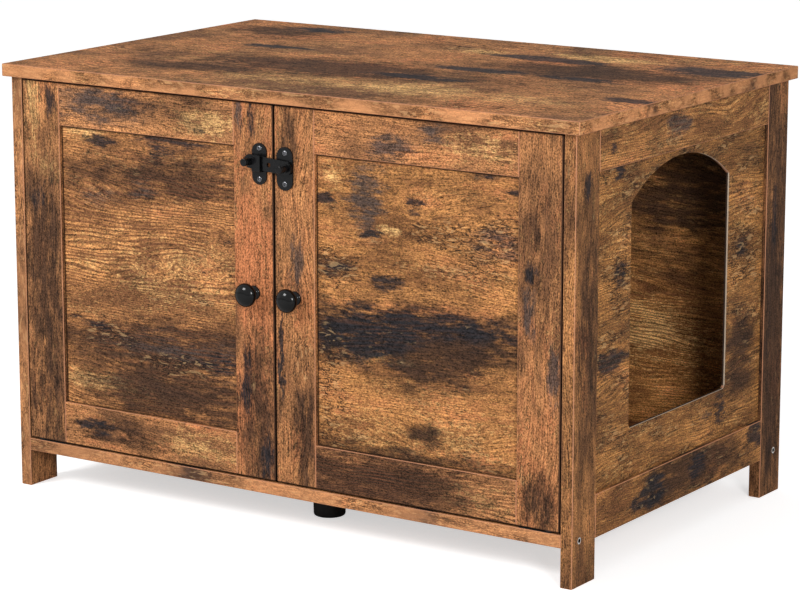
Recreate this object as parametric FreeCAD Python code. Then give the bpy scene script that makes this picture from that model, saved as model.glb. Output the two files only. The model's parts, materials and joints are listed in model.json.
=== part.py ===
import FreeCAD, Part
import math
import os

# A litter box cabinet: two framed side walls with legs, a top, a bottom and a back panel,
# two framed doors set into the front, and a drop-bar latch across the doors.
# The right wall's inset panel has an arched entrance.
#
# Millimetres. While it is drawn, X runs along the width from the cabinet's middle, Y runs
# back from the front face and Z runs up from the floor. save() then moves everything along Y
# so that the origin is on the floor, in the middle of the whole object's box.

Vector = FreeCAD.Vector

# --- overall sizes
top_width = 800.0
top_depth = 510.0
height = 520.0
board = 15.0               # thickness of the top, the bottom, the posts, the rails and the doors
overhang = 8.0             # the top stands out past the walls, the front and the back
edge_break = 0.7           # small bevel on every board's edges
cutter_margin = 1.0        # a cutting box reaches this far past what it cuts
close = 0.01               # two places nearer than this are the same
hidden_sides = 8           # flat sides round a small turned piece that is out of sight,
screw_sides = 12           # round one that shows,
stud_sides = 24            # round the latch's stud and lifting knob
round_sides = 32           # and round the door knobs and the foot

# --- the frame of each side wall
post_width = 50.0
bottom_height = 45.0       # floor to the underside of the bottom panel
lower_rail_start = 47.0    # floor to the underside of a side wall's lower rail
lower_rail_width = 50.0
upper_rail_width = 48.0

# --- thin panels, held in grooves
panel_thickness = 4.0
panel_recess = 5.0         # a frame's outer face to its panel's face
groove_depth = 6.0
groove_end_room = 0.5      # left at a panel's edge, for the panel to move
groove_side_room = 0.1     # on each face of a panel
back_recess = 8.0          # rear face to the back panel's face
tongue_stop = 8.0          # a rail's tongue and its groove end this far inside the outer edge

# --- the arched entrance in the right side panel
arch_forward = 4.0         # its middle is this far in front of the wall's middle
arch_width = 228.0
arch_sill = 57.0           # from the lower rail up to the entrance's flat floor
arch_rise = 38.0           # from the upright edges' ends, the springs, up to the arc's crown
arch_crown_room = 8.0      # from the crown up to the upper rail
arch_corner = 6.0          # radius at the ends of its floor

# --- doors
side_gap = 2.0             # between a door and its post
end_gap = 2.5              # above and below a door
meeting_gap = 2.5          # between the two doors
meeting_line = -6.0        # the doors meet a little left of the middle
stile_width = 55.0
door_rail_width = 51.0

# --- dowels, and the fixings that hold the boards together
dowel_radius = 4.0
dowel_length = 30.0
dowel_in_face = 10.0       # how deep a dowel goes into a board's face
dowel_fit = 0.05
dowel_end_room = 0.5
panel_dowel_inset = 150.0  # from the front and from the rear face, in the top and the bottom

cam_radius = 7.5
cam_depth = 12.3
cam_setback = 24.0         # from the underside of the top to the cam's centre
cam_fit = 0.1
cam_bolt_radius = 3.0
cam_bolt_neck_radius = 2.0
cam_bolt_head = 3.0
cam_bolt_in_top = 10.0
cam_bore_radius = 3.5
cam_slot_width = 1.6
cam_slot_depth = 1.5

bolt_inset = 16.0          # wall bolts, from the front and from the rear face
bolt_length = 46.0
bolt_head_radius = 4.0
bolt_head_depth = 3.4
bolt_shank_radius = 2.4
bolt_sunk = 0.3            # the head's face below the wood
bolt_socket_radius = 2.4   # to the corners of its six-sided socket
bolt_socket_depth = 2.6
screw_fit = 0.08           # radial room round screws and studs

# --- pivots: each door turns on one pin above it and one below it
pivot_setback = 7.0        # from the front face
swing_room = 0.45          # between a door's turning front corner and its post
pin_radius = 2.5
pin_length = 12.0          # into the bush
pin_running_fit = 0.05
bush_radius = 4.0
bush_length = 14.0
bush_flange_radius = 5.8
bush_flange_thickness = 1.0
pivot_plate_thickness = 1.2
pivot_plate_width = 12.0
pivot_plate_length = 46.0
pivot_screw_steps = (16.0, 34.0)   # along the plate, from the pin
small_screw_length = 11.0
small_screw_radius = 1.4
small_head_radius = 2.8
small_head_depth = 0.9

# --- magnetic catch under the top, behind the doors' meeting edges
catch_width = 46.0
catch_depth = 14.0
catch_height = 12.0
catch_clearance = 0.3
magnet_width = 14.0
magnet_depth = 4.0
magnet_height = 7.0
magnet_offset = 14.0       # from the meeting line
strike_height = 9.0
strike_thickness = 1.2
catch_screw_offset = 4.0
catch_screw_length = 22.0
catch_screw_radius = 1.6
catch_screw_head = 1.8
catch_screw_head_radius = 3.2

# --- knobs
knob_projection = 25.0
knob_radius = 14.0
knob_base_share = 0.07     # parts of the projection: the base's flat edge,
knob_waist_share = 0.33    # the waist,
knob_ring_share = 0.5      # the ring
knob_rim_share = 0.7       # and the rim of the head
knob_base_radius = 8.4
knob_flare_radius = 5.8
knob_neck_radius = 5.0
knob_ring_radius = 10.2
knob_bead = 0.9            # half the ring's edge
knob_edge = 1.5            # the bevelled rim of the head
knob_screw_radius = 2.0
knob_screw_depth = 11.0
knob_screw_head_radius = 4.2
knob_screw_head = 2.4

# --- latch: a bar on the right door drops into a hook on the left door
latch_plate = 1.8          # thickness of both plates and of the hook
keeper_plate_width = 20.0
keeper_plate_height = 48.0
keeper_inset = 17.5        # from the left door's meeting edge
keeper_rise = 1.2          # the keeper's middle above the stud's
pivot_plate_across = 22.0
pivot_plate_tall = 50.0
pivot_plate_inset = 15.5   # from the right door's meeting edge
pivot_plate_drop = 1.3     # the plate's middle below the stud's
latch_screw_pitch = 35.6
latch_screw_radius = 1.5
latch_screw_length = 12.0
latch_head_radius = 3.3
latch_head_rise = 0.9      # a raised head stands this far off the plate
latch_head_cone = 1.2
stud_offset = 3.8          # from the pivot plate's middle, away from the meeting edge
stud_drop = 70.2           # from the doors' top edges down to the stud's middle
stud_collar_radius = 6.2
stud_collar = 1.2
stud_shank_radius = 3.0
stud_barrel_radius = 4.5
stud_reach = 19.0          # from the door's face to the stud's front end
stud_tail_radius = 2.4
bar_thickness = 2.4
bar_face_room = 0.15       # on each face of the bar
bar_half_height = 8.0
bar_slope = 4.5            # degrees up towards the lifting knob
bar_hole_radius = 2.7
bar_hole_from_stud = 23.5
lift_knob_radius = 4.5
lift_knob_reach = 18.4     # from the door's face
lift_knob_room = 0.45      # between it and the hook
lift_tail_radius = 2.0
hook_width = 11.2
hook_room = 1.45           # between the bar and the hook's front wall
hook_floor_room = 0.3
hook_corner = 1.5          # radius of the hook's lower front bend
hook_lip = 17.4            # height of the hook's front wall above its floor

# --- the foot under the middle of the bottom panel
foot_from_front = 99.0
foot_top_radius = 20.5
foot_floor_radius = 18.8
foot_round = 4.0
foot_stud_radius = 4.0
foot_stud_in_foot = 26.0
foot_stud_in_board = 11.0

# --- worked out
body_half = top_width / 2 - overhang
inner_half = body_half - board
body_depth = top_depth - 2 * overhang
under_top = height - board
bottom_top = bottom_height + board
lower_rail_top = lower_rail_start + lower_rail_width
upper_rail_under = under_top - upper_rail_width
board_middle = board / 2
engagement = groove_depth - groove_end_room
door_low = bottom_top + end_gap
door_high = under_top - end_gap
swing = side_gap - swing_room
pivot_inset = (pivot_setback ** 2 - swing ** 2) / (2 * swing)   # from the door's outer edge
pivot_x = inner_half - side_gap - pivot_inset
arch_centre = body_depth / 2 - arch_forward
arch_floor = lower_rail_top + arch_sill
arch_spring = upper_rail_under - arch_crown_room - arch_rise
stud_height = door_high - stud_drop
knob_height = (door_low + door_high) / 2
cam_height = under_top - cam_setback
front_rear_posts = (post_width / 2, body_depth - post_width / 2)
panel_dowel_places = (panel_dowel_inset, body_depth - panel_dowel_inset)
bolt_places = (bolt_inset, body_depth - bolt_inset)
bottom_middle = bottom_height + board_middle
back_panel_back = body_depth - back_recess
origin_from_front = (body_depth + overhang - knob_projection) / 2
X, Y, Z = Vector(1, 0, 0), Vector(0, 1, 0), Vector(0, 0, 1)
LEFT, RIGHT = -1, 1


# --- helpers

def span(a, b):
    """The two values in rising order."""
    return (min(a, b), max(a, b))


def grown(limits, by):
    """A range made longer by the same amount at both ends."""
    return (limits[0] - by, limits[1] + by)


def box(x, y, z):
    """A plain block between three ranges."""
    return Part.makeBox(x[1] - x[0], y[1] - y[0], z[1] - z[0], Vector(x[0], y[0], z[0]))


def rod(radius, start, end):
    """A round bar, or the cutter for a round hole, between two points."""
    along = end - start
    return Part.makeCylinder(radius, along.Length, start, along)


def cut(solid, cutters):
    """The solid with the cutters taken away."""
    return solid.cut(list(cutters)) if cutters else solid


def board_piece(x, y, z, cutters=()):
    """A board with softly broken edges, less its grooves and holes."""
    blank = box(x, y, z)
    return cut(blank.makeChamfer(edge_break, blank.Edges), cutters)


def turned(outline, place, axis, sides):
    """A turned piece or the cutter for one, with many flat sides so that small things stay light.
    The outline holds (radius, distance along the axis) points."""
    turns = [2 * math.pi * i / sides for i in range(sides)]
    rings = [[Vector(radius * math.cos(t), radius * math.sin(t), step) for t in turns]
             for radius, step in outline]
    faces = []
    for lower, upper in zip(rings, rings[1:] + rings[:1]):
        for i in range(sides):
            corners = []
            for corner in (lower[i - 1], lower[i], upper[i], upper[i - 1]):
                if not any(corner.isEqual(other, 1e-6) for other in corners):
                    corners.append(corner)
            if len(corners) > 2:
                faces.append(Part.Face(Part.makePolygon(corners + corners[:1])))
    solid = Part.Solid(Part.makeShell(faces)).removeSplitter()
    solid.Placement = FreeCAD.Placement(place, FreeCAD.Rotation(Z, axis))
    return solid


def peg(radius, start, end, sides=hidden_sides):
    """A straight bar with flat sides, or the cutter for its hole, between two points."""
    along = end - start
    return turned([(0, 0), (radius, 0), (radius, along.Length), (0, along.Length)], start,
                   along, sides)


def dome(radius, base, top, steps=4):
    """The outline of part of a ball, from this radius at base up to the axis at top."""
    rise = top - base
    ball = (radius ** 2 + rise ** 2) / (2 * rise)
    start = math.atan2(radius, ball - rise)
    turns = [start * (steps - i) / steps for i in range(steps + 1)]
    return [(ball * math.sin(t), top - ball + ball * math.cos(t)) for t in turns]


def side_x(side, inward_low, inward_high):
    """The x range of a slice of one side wall, from depths below its outer face."""
    return span(side * (body_half - inward_low), side * (body_half - inward_high))


# --- dowels

class Dowel:
    """A wooden peg from start to end, and the drilled hole that takes it."""

    def __init__(self, start, end):
        self.start, self.end = start, end

    def solid(self):
        return peg(dowel_radius, self.start, self.end)

    def hole(self):
        step = (self.end - self.start).normalize() * dowel_end_room
        return peg(dowel_radius + dowel_fit, self.start - step, self.end + step)


def top_dowels():
    """The pegs that stand in the upper rails and locate the top."""
    pegs = []
    for side in (LEFT, RIGHT):
        for y in panel_dowel_places:
            foot = Vector(side * (body_half - board_middle), y, under_top + dowel_in_face)
            pegs.append(Dowel(foot - Z * dowel_length, foot))
    return pegs


def bottom_dowels():
    """The pegs between the bottom panel's ends and the lower rails."""
    pegs = []
    for side in (LEFT, RIGHT):
        for y in panel_dowel_places:
            tip = Vector(side * (inner_half + dowel_in_face), y, bottom_middle)
            pegs.append(Dowel(tip - X * (side * dowel_length), tip))
    return pegs


# --- cams, cam bolts and wall bolts

def cam_places():
    """Side and distance from the front of each cam: one in the head of each post."""
    return [(side, y) for side in (LEFT, RIGHT) for y in front_rear_posts]


def cam_pocket(side, y):
    """The round pocket for a cam, in a post's inner face."""
    mouth = Vector(side * inner_half, y, cam_height)
    return peg(cam_radius + cam_fit, mouth, mouth + X * (side * (cam_depth + cam_fit)), screw_sides)


def cam_bolt_bore(side, y):
    """The bore down from a post's top end to its cam."""
    head = Vector(side * (body_half - board_middle), y, under_top)
    return peg(cam_bolt_radius + screw_fit, head - Z * cam_setback, head)


def cam_lock(side, y):
    """A round cam with a screwdriver slot, open at the top for the bolt's head."""
    mouth = Vector(side * inner_half, y, cam_height)
    drum = peg(cam_radius, mouth, mouth + X * (side * cam_depth), screw_sides)
    bore_start = Vector(side * (body_half - board_middle), y, cam_height - cam_bore_radius)
    bore = peg(cam_bore_radius, bore_start, bore_start + Z * (2 * cam_radius))
    slot = box(span(side * inner_half, side * (inner_half + cam_slot_depth)),
               (y - cam_slot_width / 2, y + cam_slot_width / 2),
               grown((cam_height, cam_height), cam_radius))
    return cut(drum, [bore, slot])


def cam_bolt(side, y):
    """A bolt in the underside of the top, with a neck and a head for the cam to hold."""
    head = -cam_setback - cam_bolt_head / 2
    outline = [(0, head), (cam_bolt_radius, head), (cam_bolt_radius, head + cam_bolt_head),
               (cam_bolt_neck_radius, head + cam_bolt_head),
               (cam_bolt_neck_radius, -cam_setback / 2),
               (cam_bolt_radius, -cam_setback / 2), (cam_bolt_radius, cam_bolt_in_top),
               (0, cam_bolt_in_top)]
    place = Vector(side * (body_half - board_middle), y, under_top)
    return turned(outline, place, Z, hidden_sides)


def cam_bolt_pilot(side, y):
    """The hole in the underside of the top for a cam bolt."""
    head = Vector(side * (body_half - board_middle), y, under_top)
    return peg(cam_bolt_radius + dowel_fit, head, head + Z * (cam_bolt_in_top + dowel_end_room))


def wall_bolt(side, y):
    """A socket-head bolt through a post into the end of the bottom panel."""
    tip = bolt_sunk + bolt_length
    head_end = bolt_sunk + bolt_head_depth
    outline = [(0, bolt_sunk), (bolt_head_radius, bolt_sunk), (bolt_head_radius, head_end),
               (bolt_shank_radius, head_end), (bolt_shank_radius, tip), (0, tip)]
    place = Vector(side * body_half, y, bottom_middle)
    corners = [Vector(bolt_socket_radius * math.cos(math.radians(60 * i)),
                      bolt_socket_radius * math.sin(math.radians(60 * i)), bolt_sunk)
               for i in range(7)]
    socket = Part.Face(Part.makePolygon(corners)).extrude(Z * bolt_socket_depth)
    socket.Placement = FreeCAD.Placement(place, FreeCAD.Rotation(Z, X * -side))
    return turned(outline, place, X * -side, screw_sides).cut(socket)


def wall_bolt_bore(side, y):
    """The stepped bore for a wall bolt, through the post and into the bottom panel."""
    tip = bolt_sunk + bolt_length + dowel_end_room
    head_end = bolt_sunk + bolt_head_depth + screw_fit
    head, shank = bolt_head_radius + screw_fit, bolt_shank_radius + screw_fit
    outline = [(0, 0), (head, 0), (head, head_end), (shank, head_end), (shank, tip), (0, tip)]
    place = Vector(side * body_half, y, bottom_middle)
    return turned(outline, place, X * -side, screw_sides)


# --- side walls

def side_panel_x(side):
    """The x range of a side wall's thin panel."""
    return side_x(side, panel_recess, panel_recess + panel_thickness)


def side_panel_yz():
    """The y and z ranges that show inside a side wall's frame."""
    return (post_width, body_depth - post_width), (lower_rail_top, upper_rail_under)


def side_grooves(side):
    """The grooves in a side wall's posts and in its rails, each pair as one block."""
    x = grown(side_panel_x(side), groove_side_room)
    y, z = side_panel_yz()
    stop = tongue_stop - groove_end_room
    in_posts = box(x, grown(y, groove_depth), grown((lower_rail_start, under_top), -stop))
    in_rails = box(x, grown(y, groove_depth), grown(z, groove_depth))
    return in_posts, in_rails


def tongues(rail, thin, long_axis, joints, outer_edge, inner_edge):
    """A rail with a thin tongue at each end, which sits in the grooves of its neighbours."""
    direction = math.copysign(1, inner_edge - outer_edge)
    z = span(outer_edge + direction * tongue_stop, inner_edge - direction * groove_depth)
    for joint, outward in zip(joints, (-1, 1)):
        reach = span(joint, joint + outward * engagement)
        x, y = (reach, thin) if long_axis == X else (thin, reach)
        rail = rail.fuse(box(x, y, z))
    return rail.removeSplitter()


def back_panel_room(room, end_room):
    """The back panel's block, or the grooves it sits in."""
    reach = groove_depth - end_room
    return box((-inner_half - reach, inner_half + reach),
               grown((back_panel_back - panel_thickness, back_panel_back), room),
               (bottom_top - reach, under_top + reach))


def post(side, y):
    """A leg board of a side wall, from the floor to the top."""
    cutters = [side_grooves(side)[0]]
    cutters += [cam_pocket(side, place) for place in front_rear_posts]
    cutters += [cam_bolt_bore(side, place) for place in front_rear_posts]
    cutters += [wall_bolt_bore(side, place) for place in bolt_places]
    cutters.append(back_panel_room(groove_side_room, 0))
    return board_piece(side_x(side, 0, board), y, (0, under_top), cutters)


def side_rail(side, outer_edge, inner_edge):
    """A level board between the two posts of a side wall, tongued into their grooves."""
    cutters = [dowel.hole() for dowel in top_dowels() + bottom_dowels()] + [side_grooves(side)[1]]
    y = (post_width, body_depth - post_width)
    rail = board_piece(side_x(side, 0, board), y, span(outer_edge, inner_edge), cutters)
    return tongues(rail, side_panel_x(side), Y, y, outer_edge, inner_edge)


def side_panel(side, cutters=()):
    """The thin panel in a side wall's frame."""
    y, z = side_panel_yz()
    return cut(box(side_panel_x(side), grown(y, engagement), grown(z, engagement)), cutters)


def arch_cutter():
    """The entrance: a flat sill with rounded ends, two upright edges and a shallow arc."""
    x = body_half - board
    near, far = arch_centre - arch_width / 2, arch_centre + arch_width / 2
    sill_near, sill_far = Vector(x, near, arch_floor), Vector(x, far, arch_floor)
    spring_near, spring_far = Vector(x, near, arch_spring), Vector(x, far, arch_spring)
    crown = Vector(x, arch_centre, arch_spring + arch_rise)
    outline = Part.Wire([Part.makeLine(sill_near, sill_far), Part.makeLine(sill_far, spring_far),
                         Part.Arc(spring_far, crown, spring_near).toShape(),
                         Part.makeLine(spring_near, sill_near)])
    opening = Part.Face(outline).extrude(X * board)
    corners = [edge for edge in opening.Edges if edge.BoundBox.XLength > close
               and edge.BoundBox.ZMax < arch_floor + close]
    return opening.makeFillet(arch_corner, corners)


# --- top, bottom and back

def screw_bore(place, axis, length, radius, head_radius, head_depth):
    """The pilot hole and the countersink for a small screw driven along axis from place."""
    outline = [(0, 0), (head_radius, 0), (radius, head_depth), (radius, length), (0, length)]
    return turned(outline, place, axis, hidden_sides)


def top_panel():
    """The top, which overhangs the walls, the front and the back."""
    cutters = [dowel.hole() for dowel in top_dowels()]
    cutters += [cam_bolt_pilot(side, y) for side, y in cam_places()]
    cutters += [hole for side in (LEFT, RIGHT) for hole in pivot_screw_pilots(side, 1)]
    cutters += catch_screw_pilots()
    cutters.append(back_panel_room(groove_side_room, 0))
    return board_piece((-top_width / 2, top_width / 2), (-overhang, body_depth + overhang),
                       (under_top, height), cutters)


def bottom_panel():
    """The bottom, between the two side walls."""
    cutters = [dowel.hole() for dowel in bottom_dowels()]
    cutters += [wall_bolt_bore(side, y) for side in (LEFT, RIGHT) for y in bolt_places]
    cutters += [hole for side in (LEFT, RIGHT) for hole in pivot_screw_pilots(side, -1)]
    cutters.append(back_panel_room(groove_side_room, 0))
    cutters.append(foot_stud_bore())
    return board_piece((-inner_half, inner_half), (0, body_depth), (bottom_height, bottom_top),
                       cutters)


# --- the foot

def centre_foot():
    """A round black foot, slightly narrower towards its rounded floor edge."""
    lean = (foot_top_radius - foot_floor_radius) / bottom_height
    bend = foot_floor_radius + lean * foot_round
    corner = foot_round * (1 - math.sqrt(0.5))
    outline = [(0, 0), (bend - foot_round, 0), (bend - corner, corner), (bend, foot_round),
               (foot_top_radius, bottom_height), (0, bottom_height)]
    foot = turned(outline, Vector(0, foot_from_front, 0), Z, round_sides)
    return foot.cut(foot_stud_bore())


def foot_stud_bore():
    """The bore in the foot and in the bottom panel for the foot's stud."""
    place = Vector(0, foot_from_front, bottom_height)
    return peg(foot_stud_radius + dowel_fit, place - Z * (foot_stud_in_foot + dowel_end_room),
               place + Z * (foot_stud_in_board + dowel_end_room))


def foot_stud():
    """The threaded stud that holds the foot to the bottom panel."""
    place = Vector(0, foot_from_front, bottom_height)
    return peg(foot_stud_radius, place - Z * foot_stud_in_foot, place + Z * foot_stud_in_board)


# --- door pivots. end is 1 above the door and -1 below it

def pivot_seat(end):
    """The height of the face that a pivot plate is screwed to."""
    return under_top if end > 0 else bottom_top


def pivot_plate(side, end):
    """A steel strip with a pin that stands into the door's bush."""
    seat, axis = pivot_seat(end), Z * -end
    centre = Vector(side * pivot_x, pivot_setback, seat)
    half, run = pivot_plate_width / 2, pivot_plate_length - pivot_plate_width
    near = peg(half, centre, centre + axis * pivot_plate_thickness, stud_sides)
    far_centre = centre - X * (side * run)
    far = peg(half, far_centre, far_centre + axis * pivot_plate_thickness, stud_sides)
    strip = box(span(side * pivot_x, side * (pivot_x - run)),
                grown((pivot_setback, pivot_setback), half),
                span(seat, seat - end * pivot_plate_thickness))
    pin = rod(pin_radius, centre, centre + axis * (end_gap + pin_length))
    plate = near.fuse([far, strip, pin]).removeSplitter()
    return cut(plate, [screw_bore(place, -axis, pivot_plate_thickness + screw_fit,
                                  small_screw_radius + screw_fit, small_head_radius,
                                  small_head_depth)
                       for place in pivot_screw_faces(side, end)])


def pivot_screw_faces(side, end):
    """Where a pivot plate's two screws enter it."""
    z = pivot_seat(end) - end * pivot_plate_thickness
    return [Vector(side * (pivot_x - step), pivot_setback, z) for step in pivot_screw_steps]


def small_screw(place, axis):
    """A countersunk wood screw, flush with the face that it is driven into."""
    outline = [(0, 0), (small_head_radius - screw_fit, 0), (small_screw_radius, small_head_depth),
               (small_screw_radius, small_screw_length - 2 * small_screw_radius),
               (0, small_screw_length)]
    return turned(outline, place, axis, hidden_sides)


def pivot_screws(side, end):
    """The two screws of one pivot plate."""
    return [small_screw(place, Z * end) for place in pivot_screw_faces(side, end)]


def pivot_screw_pilots(side, end):
    """The holes for those screws, in the top or in the bottom panel."""
    return [peg(small_screw_radius + dowel_fit, place, place + Z * (end * small_screw_length))
            for place in pivot_screw_faces(side, end)]


def bush(side, end):
    """A flanged nylon bush in the end of a hinge stile."""
    place = Vector(side * pivot_x, pivot_setback, door_high if end > 0 else door_low)
    start, tip = -bush_flange_thickness, bush_length
    outline = [(0, start), (bush_flange_radius, start), (bush_flange_radius, 0),
               (bush_radius, 0), (bush_radius, tip), (0, tip)]
    bore = rod(pin_radius + pin_running_fit, place - Z * (end * start), place - Z * (end * tip))
    return turned(outline, place, Z * -end, screw_sides).cut(bore)


def bush_hole(side, end):
    """The hole in the hinge stile's end for its bush."""
    place = Vector(side * pivot_x, pivot_setback, door_high if end > 0 else door_low)
    deep_end = place - Z * (end * (bush_length + dowel_end_room))
    return peg(bush_radius + dowel_fit, place, deep_end, screw_sides)


# --- doors

def door_x(side):
    """A door's x range."""
    return span(side * (inner_half - side_gap), meeting_line + side * meeting_gap / 2)


def stile_x(side, at_hinge):
    """The x range of a door's hinge stile or of its lock stile."""
    outer, inner = side * (inner_half - side_gap), meeting_line + side * meeting_gap / 2
    if at_hinge:
        return span(outer, outer - side * stile_width)
    return span(inner, inner + side * stile_width)


def door_rails_x(side):
    """The x range between a door's two stiles."""
    low, high = door_x(side)
    return (low + stile_width, high - stile_width)


def door_panel_z():
    """The z range between a door's two rails."""
    return (door_low + door_rail_width, door_high - door_rail_width)


def door_panel(side):
    """A door's thin inset panel."""
    return box(grown(door_rails_x(side), engagement),
               (panel_recess, panel_recess + panel_thickness), grown(door_panel_z(), engagement))


def door_grooves(side):
    """The grooves in a door's stiles and in its rails, each pair as one block."""
    x = grown(door_rails_x(side), groove_depth)
    y = grown((panel_recess, panel_recess + panel_thickness), groove_side_room)
    stop = tongue_stop - groove_end_room
    in_stiles = box(x, y, grown((door_low, door_high), -stop))
    in_rails = box(x, y, grown(door_panel_z(), groove_depth))
    return in_stiles, in_rails


def door_stile(side, at_hinge):
    """An upright of a door's frame, as tall as the door."""
    cutters = [door_grooves(side)[0]]
    if at_hinge:
        cutters += [bush_hole(side, 1), bush_hole(side, -1)]
    else:
        cutters.append(peg(knob_screw_radius + screw_fit, knob_place(side),
                           knob_place(side) + Y * board))
        cutters += [peg(latch_screw_radius + dowel_fit, place, place + Y * latch_screw_length,
                        screw_sides) for place in latch_screw_places(side)]
        cutters.append(peg(small_screw_radius + dowel_fit, strike_centre(side),
                           strike_centre(side) - Y * small_screw_length))
    return board_piece(stile_x(side, at_hinge), (0, board), (door_low, door_high), cutters)


def door_rail(side, upper):
    """A level board of a door's frame, tongued into its stiles."""
    low, high = door_panel_z()
    outer_edge, inner_edge = (door_high, high) if upper else (door_low, low)
    x, thin = door_rails_x(side), (panel_recess, panel_recess + panel_thickness)
    rail = board_piece(x, (0, board), span(outer_edge, inner_edge), [door_grooves(side)[1]])
    return tongues(rail, thin, X, x, outer_edge, inner_edge)


# --- knobs

def knob_place(side):
    """The middle of a knob's seat, on the front face of the lock stile."""
    low, high = stile_x(side, False)
    return Vector((low + high) / 2, 0, knob_height)


def knob(side):
    """A turned knob: flared base, waisted neck, a ring, and a domed mushroom head."""
    base, waist = knob_projection * knob_base_share, knob_projection * knob_waist_share
    ring, rim = knob_projection * knob_ring_share, knob_projection * knob_rim_share
    outline = [(0, 0), (knob_base_radius, 0), (knob_base_radius, base),
               (knob_flare_radius, (base + waist) / 2), (knob_neck_radius, waist),
               (knob_ring_radius, ring - knob_bead), (knob_ring_radius, ring + knob_bead),
               (knob_radius, rim)]
    outline += dome(knob_radius - knob_edge, rim + knob_edge, knob_projection)
    screw = peg(knob_screw_radius + screw_fit, knob_place(side),
                knob_place(side) - Y * knob_screw_depth)
    return turned(outline, knob_place(side), -Y, round_sides).cut(screw)


def knob_screw(side):
    """The machine screw that holds a knob from behind the stile."""
    shank, head = knob_screw_radius, knob_screw_head_radius
    tip, crown = -knob_screw_depth + dowel_end_room, board + knob_screw_head
    outline = [(0, tip), (shank, tip), (shank, board), (head, board),
               (head, crown - edge_break), (head - edge_break, crown), (0, crown)]
    return turned(outline, knob_place(side), Y, hidden_sides)


# --- magnetic catch

def catch_front():
    """Distance from the front face to the catch's working face."""
    return board + strike_thickness + catch_clearance


def catch_screw_x():
    """The x places of the catch's two screws, outside its magnets."""
    return [meeting_line + side * (catch_width / 2 - catch_screw_offset) for side in (LEFT, RIGHT)]


def catch_screw_place(x):
    """Where a catch screw's head lies, under the catch."""
    return Vector(x, catch_front() + catch_depth / 2, under_top - catch_height)


def catch_screw_pilots():
    """The holes for the catch's screws in the underside of the top."""
    depth = Z * (catch_screw_length - catch_height + dowel_end_room)
    places = [catch_screw_place(x) + Z * catch_height for x in catch_screw_x()]
    return [peg(catch_screw_radius + dowel_fit, place, place + depth) for place in places]


def catch_screw(x):
    """A round-headed screw up through the catch."""
    head = -catch_screw_head
    outline = [(0, head), (catch_screw_head_radius, head), (catch_screw_head_radius, 0),
               (catch_screw_radius, 0), (catch_screw_radius, catch_screw_length),
               (0, catch_screw_length)]
    return turned(outline, catch_screw_place(x), Z, hidden_sides)


def magnet_block(side, room):
    """A magnet, or with some room the pocket that it sits in."""
    middle = meeting_line + side * magnet_offset
    z_middle = under_top - catch_height / 2
    return box(grown((middle, middle), magnet_width / 2 + room),
               (catch_front(), catch_front() + magnet_depth + room),
               grown((z_middle, z_middle), magnet_height / 2 + room))


def catch_body():
    """The plastic housing of the double catch."""
    blank = box(grown((meeting_line, meeting_line), catch_width / 2),
                (catch_front(), catch_front() + catch_depth),
                (under_top - catch_height, under_top))
    cutters = [magnet_block(side, dowel_fit) for side in (LEFT, RIGHT)]
    cutters += [peg(catch_screw_radius + screw_fit, catch_screw_place(x),
                    catch_screw_place(x) + Z * catch_height) for x in catch_screw_x()]
    return cut(blank, cutters)


def strike_centre(side):
    """The middle of a strike plate's face, behind the lock stile."""
    return Vector(meeting_line + side * magnet_offset, board + strike_thickness,
                  door_high - strike_height / 2 - edge_break)


def strike_plate(side):
    """A steel strike on the back of a door, with a countersunk hole."""
    centre = strike_centre(side)
    blank = box(grown((centre.x, centre.x), magnet_width / 2),
                (board, board + strike_thickness), grown((centre.z, centre.z), strike_height / 2))
    return blank.cut(screw_bore(centre, -Y, strike_thickness + screw_fit,
                                small_screw_radius + screw_fit, small_head_radius,
                                small_head_depth))


# --- latch

def latch_plate_blank(centre, across, tall):
    """A flat plate with round ends, standing on the door's face."""
    radius, half_run = across / 2, tall / 2 - across / 2
    back, front = Vector(centre.x, 0, centre.z), Vector(0, -latch_plate, 0)
    ends = [rod(radius, back + Z * step, back + Z * step + front) for step in (-half_run, half_run)]
    middle = box(grown((centre.x, centre.x), radius), (-latch_plate, 0),
                 grown((centre.z, centre.z), half_run))
    return middle.fuse(ends).removeSplitter()


def latch_plate_centre(side):
    """The middle of a latch plate, on the door's face."""
    edge = meeting_line + side * meeting_gap / 2
    if side == LEFT:
        return Vector(edge - keeper_inset, 0, stud_height + keeper_rise)
    return Vector(edge + pivot_plate_inset, 0, stud_height - pivot_plate_drop)


def latch_screw_places(side):
    """Where a latch plate's two screws meet the door's face."""
    centre = latch_plate_centre(side)
    return [centre + Z * step for step in (-latch_screw_pitch / 2, latch_screw_pitch / 2)]


def latch_screw(place):
    """A raised countersunk screw."""
    tip, face = dowel_end_room - latch_screw_length, latch_plate
    outline = [(0, tip), (latch_screw_radius, tip + latch_screw_radius),
               (latch_screw_radius, face - latch_head_cone), (latch_head_radius, face),
               (latch_head_radius / 2, face + latch_head_rise), (0, face + latch_head_rise)]
    return turned(outline, place, -Y, screw_sides)


def latch_screw_hole(place):
    """The countersunk hole for a latch screw, through a plate."""
    face = latch_plate
    shank, head = latch_screw_radius + screw_fit, latch_head_radius + screw_fit
    outline = [(0, 0), (shank, 0), (shank, face - latch_head_cone), (head, face), (0, face)]
    return turned(outline, place, -Y, screw_sides)


def bar_layers():
    """Distances off the door's face of the bar's rear and front faces."""
    rear = latch_plate + stud_collar + bar_face_room
    return rear, rear + bar_thickness


def stud_place():
    """The middle of the pivot stud, on the door's face."""
    return Vector(latch_plate_centre(RIGHT).x + stud_offset, 0, stud_height)


def along_bar(distance):
    """The point on the bar's middle line this far from the stud, on the door's face."""
    slope = math.radians(bar_slope)
    return stud_place() + Vector(-distance * math.cos(slope), 0, distance * math.sin(slope))


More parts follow.
